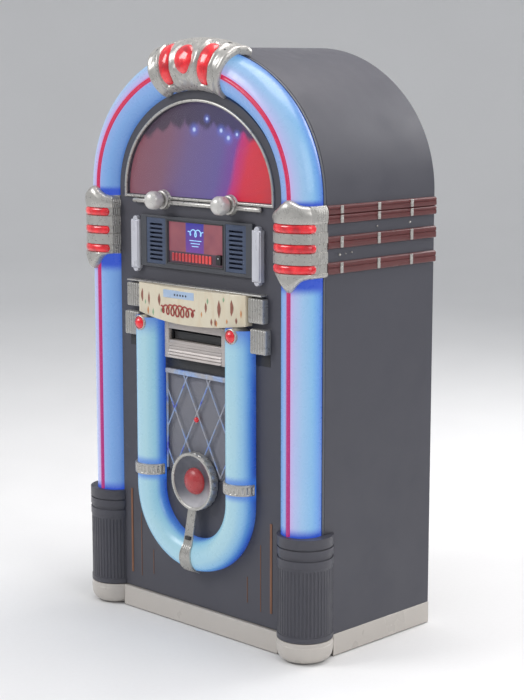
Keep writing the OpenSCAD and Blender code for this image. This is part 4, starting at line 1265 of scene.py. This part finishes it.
def strap():
    """The flat ribbed strap from the horn over the bend of the U tube."""
    rings = []
    centre = 358 - 161
    for i in range(33):
        part = i / 32
        turn = radians(through(((0.0, 90.0), (0.25, 40.0), (1.0, -74.0)), part))
        wide = through(((0.0, 14.0), (0.22, 15.0), (0.6, 20.0), (1.0, 20.5)), part)
        if part < 0.25:
            y = -24 + (-5 - 47 * cos(radians(40.0)) + 24) * (part / 0.25)
            z = 316 + (centre + 47 * sin(radians(40.0)) - 316) * (part / 0.25)
            back_y, back_z = y + 4, z
        else:
            y, z = -5 - 47.5 * cos(turn), centre + 47.5 * sin(turn)
            back_y, back_z = -5 - 42.6 * cos(turn), centre + 42.6 * sin(turn)
        ring = []
        for k in range(41):
            x = -wide + 2 * wide * k / 40
            sink = 2.2 * (0.5 - 0.5 * cos(2 * pi * x / 6.6)) if 1 < k < 39 else 0.0
            blend = sink / 5.0
            ring.append(at(x, y + (back_y - y) * blend, z + (back_z - z) * blend))
        ring += [at(wide, back_y, back_z), at(-wide, back_y, back_z)]
        rings.append(ring)
    return loft(rings)


def fittings():
    bands = clamp()
    left = mirrored(bands)
    piece("tube_clamps_skin", [left, bands, strap()],
                 cast, ("tube_clamps",), smooth=50)
    mark = box((-9, -41.6, 240), (9, -34.0, 249), 0.8)
    piece("strap_mark", mark, moulded)


def horn():
    """A ribbed drum with a rolled lip round a dark bowl and a red dome."""
    centre = at(0, 0, 387)
    rings = []
    drum = ((70, -0.2), (70, -3), (72, -4), (72, -20), (70.5, -21.5), (72.5, -22.5), (74, -24.2), (73, -26.2),
            (70, -27), (66.5, -26), (65, -23.6), (65.5, -21), (65, -0.2))
    for i in range(145):
        t = 2 * pi * i / 144
        rib = 1.6 * (1.0 if (i // 3) % 2 else 0.0)
        ring = []
        for r, y in drum:
            out = r + (rib if r == 72 else 0.0)
            ring.append(centre + Vector((out * MM * cos(t), y * MM, out * MM * sin(t))))
        rings.append(ring)
    lip = loft(rings, caps=False)
    weld(lip)
    piece("horn_skin", lip, cast, ("horn",), smooth=45)
    bowl = [(0.0, -12.0), (30, -12.4), (40, -13.4), (49, -16), (57, -19.6), (62, -22.4), (65.4, -24),
            (65.4, -0.4),
            (0.0, -0.4)]
    piece("horn_bowl", turned(centre, bowl, steps=72), bowl_painted_light, smooth=50)
    cap = [(0.0, -32.4), (8, -31.9), (16, -30.2), (23, -27.4), (28, -23.9), (32, -19.4), (33.6, -15.6),
           (34, -12.6),
           (0.0, -12.6)]
    piece("horn_jewel", turned(centre, cap, steps=64), horn_red)


def lattice():
    """Crossed thin strands, the bar above them and a red bead."""
    parts = []
    for row in range(-2, 3):
        for lean in (-1, 1):
            points = []
            for k in range(5):
                x = row * 82 + lean * (k - 2) * 41
                z = 560 + (k - 2) * 77
                points.append((x, z))
            for (xa, za), (xb, zb) in zip(points, points[1:]):
                parts += strand_piece(xa, za, xb, zb)
    parts.append(box((-112, -9, 650), (112, -0.2, 662), 2.2))
    for x in (-110.5, 107):
        parts.append(box((x, -7, 404), (x + 3.5, -1, 651), 1.2))
    piece("lattice_skin", parts, strand_painted_glints,
                 ("lattice",))
    bead = turned(at(0, -6, 543), [(0.0, -7), (3, -6.4), (6, -3.6), (7, 0.0), (5, 3.6),
                                          (0.0, 4.6)], axis="y", steps=32)
    piece("lattice_bead", bead, jewel, ("red_inserts",))


def strand_piece(xa, za, xb, zb):
    """The part of a strand that lies inside the grille and outside the horn."""
    a, b, inside = Vector((xa, za)), Vector((xb, zb)), []
    for i in range(25):
        p = a.lerp(b, i / 24)
        fits = abs(p.x) <= 108 and 405 <= p.y <= 651
        if fits and hypot(p.x, p.y - 387) > 75:
            inside.append(p)
    if len(inside) < 3:
        return []
    return [rod(at(inside[0].x, -4, inside[0].y), at(inside[-1].x, -4, inside[-1].y), 1.9 * MM, steps=8)]


# ---------- side bands ----------

BANDS = ((1054, 1075), (1076, 1097), (996, 1025), (936, 964))


def bands():
    """Side bands with a stepped section, and a cast silver clip on each at three places."""
    parts, clips = [], []
    for low, high in BANDS:
        middle = (low + high) / 2 + 2
        section = [(0.2, low), (5, low), (6.6, low + 1.2), (7, low + 3), (7, middle - 2), (5.6, middle - 1),
                   (5.6, middle),
                   (7, middle + 1), (7, high - 4), (6.2, high - 2.4), (3, high), (0.2, high)]
        depths = (43.6, 120, 200, 280, 360, 440.8)
        parts.append(loft([[at(388 + x, y, z) for x, z in section] for y in depths]))
        for y in (90, 223, 345):
            clips.append(box((394, y - 5.0, low + 1.2), (397.6, y + 5.0, high - 1.2), 1.7, 4))
            knob_z = (low + high) / 2
            stud_profile = [(0.0, 8.4), (2.4, 8.2), (4.6, 6.9), (5.4, 5.0), (0.0, 5.0)]
            clips.append(turned(at(390, y, knob_z), stud_profile, axis="x", steps=24))
    for y, z, r in ((345, 1040, 3.2), (223, 1038, 2.0), (90, 980, 3.4), (110, 981, 1.6), (132, 983, 2.2)):
        clips.append(turned(at(388, y, z), [(0.0, 4), (r * 0.7, 3), (r, 0.4), (0.0, 0.2)],
                            axis="x", steps=20))
    pair("side_bands_skin", joined(parts), band, ("side_bands",), 30, "cabinet")
    pair("band_clips", joined(clips), cast, ("band_studs",), 50, "cabinet")


light_tubes()
u_tube()
cabinet_skin()
feet_and_sockets()
side_castings()
crown()
crown_gems()
window()
knob("volume_knob_skin", "volume_knob", -1)
knob("tone_knob_skin", "tone_knob", 1)
sill()
display()
title_marks()
blocks()
coin_unit()
fittings()
horn()
lattice()
bands()

for node, material, width in (
    ("plinth", cream, 0.002), ("front_panel", vinyl, 0.0012), ("pilaster_left", socket_plastic, 0.0010),
    ("pilaster_right", socket_plastic, 0.0010), ("display_bezel", bezel, 0.0012),
    ("display_screen", screen_light, 0.0004), ("louvres", louvre, 0.0010), ("handle_bars", bar_white, 0.0022),
    ("title_panel", title, 0.0016), ("button_left", jewel, 0.0004), ("button_right", jewel, 0.0004),
    ("cancel_key", moulded, 0.0008), ("rear_door", black_board, 0.0010), ("trim_strips", copper, 0.0003),
):
    softened(node, material, width)

dress(board, "floor_board", "mech_shelf")
dress(black_board, "back_frame", "speaker_baffle")
dress(rubber, "levelling_glides")
dress(chassis, "woofer_frame", "amplifier", "door_backplate")
dress(paper, "woofer_cone")
dress(steel, "power_supply", "cabinet_hinges", "changer_base", "transfer_arm", "door_hinges")
dress(moulded, "mains_inlet", "disc_player", "disc_carousel", "return_flap")
dress(chrome, "rear_lock", "disc_spindle")
dress(rainbow, "discs")
dress(cloth, "grille_cloth")
dress(lamp_white, "lamps")
dress(sleeve_light, "colour_cylinder_left", "colour_cylinder_right")


# ---------- stage, light and camera ----------

def stage():
    """A pale floor that curves up into a round pale wall."""
    profile = ((0.0, 0.0), (3.0, 0.0), (6.0, 0.0), (7.6, 0.09), (8.6, 0.40), (9.4, 1.0), (10.0, 1.9),
               (10.4, 3.1),
               (10.6, 5.0), (10.6, 8.0))
    rings = []
    for i in range(97):
        t = 2 * pi * i / 96
        rings.append([Vector((r * cos(t), r * sin(t), h)) for r, h in profile])
    mesh = loft(rings, closed=False, caps=False)
    weld(mesh)
    mesh.polygons.foreach_set("use_smooth", [True] * len(mesh.polygons))
    floor = bpy.data.objects.new("floor", mesh)
    bpy.context.scene.collection.objects.link(floor)
    mesh.materials.append(surface("pale_floor", (0.80, 0.80, 0.80), 0.75, mottle=0.03, patch=1.5, grain=90.0))
    world = bpy.data.worlds.new("studio")
    bpy.context.scene.world = world
    world.use_nodes = True
    sky = world.node_tree.nodes["Background"]
    sky.inputs["Color"].default_value = (0.90, 0.92, 0.96, 1.0)
    sky.inputs["Strength"].default_value = 0.62


def lamp(name, place, aim, size, power, colour=(1.0, 1.0, 1.0)):
    light = bpy.data.lights.new(name, "AREA")
    light.shape = "RECTANGLE"
    light.size, light.size_y = size
    light.energy = power
    light.color = colour
    thing = bpy.data.objects.new(name, light)
    thing.location = place
    thing.rotation_euler = (Vector(aim) - Vector(place)).to_track_quat("-Z", "Y").to_euler()
    bpy.context.scene.collection.objects.link(thing)


def camera():
    azimuth, tilt = radians(44.383), radians(9.539)
    target = Vector((0.0268, FACE + 0.2, 0.6982))
    distance = 4.3753
    towards = Vector((sin(azimuth) * cos(tilt), -cos(azimuth) * cos(tilt), sin(tilt)))
    data = bpy.data.cameras.new("camera")
    data.lens = 87.99
    data.sensor_width = 36.0
    thing = bpy.data.objects.new("camera", data)
    thing.location = target + towards * distance
    thing.rotation_euler = (-towards).to_track_quat("-Z", "Y").to_euler()
    bpy.context.scene.collection.objects.link(thing)
    bpy.context.scene.camera = thing


stage()
lamp("key", (-2.4, -3.4, 3.6), (0.0, 0.0, 0.9), (2.4, 2.0), 110.0)
lamp("fill", (3.6, -0.4, 2.4), (0.1, 0.0, 0.8), (2.4, 2.4), 42.0)
lamp("top", (0.3, 0.5, 3.6), (0.0, 0.0, 1.2), (2.0, 2.0), 60.0, (1.0, 0.95, 0.93))
lamp("rim", (0.6, 3.4, 2.4), (0.0, 0.0, 1.0), (2.2, 1.6), 60.0)
camera()
bpy.context.scene.view_settings.view_transform = "Standard"
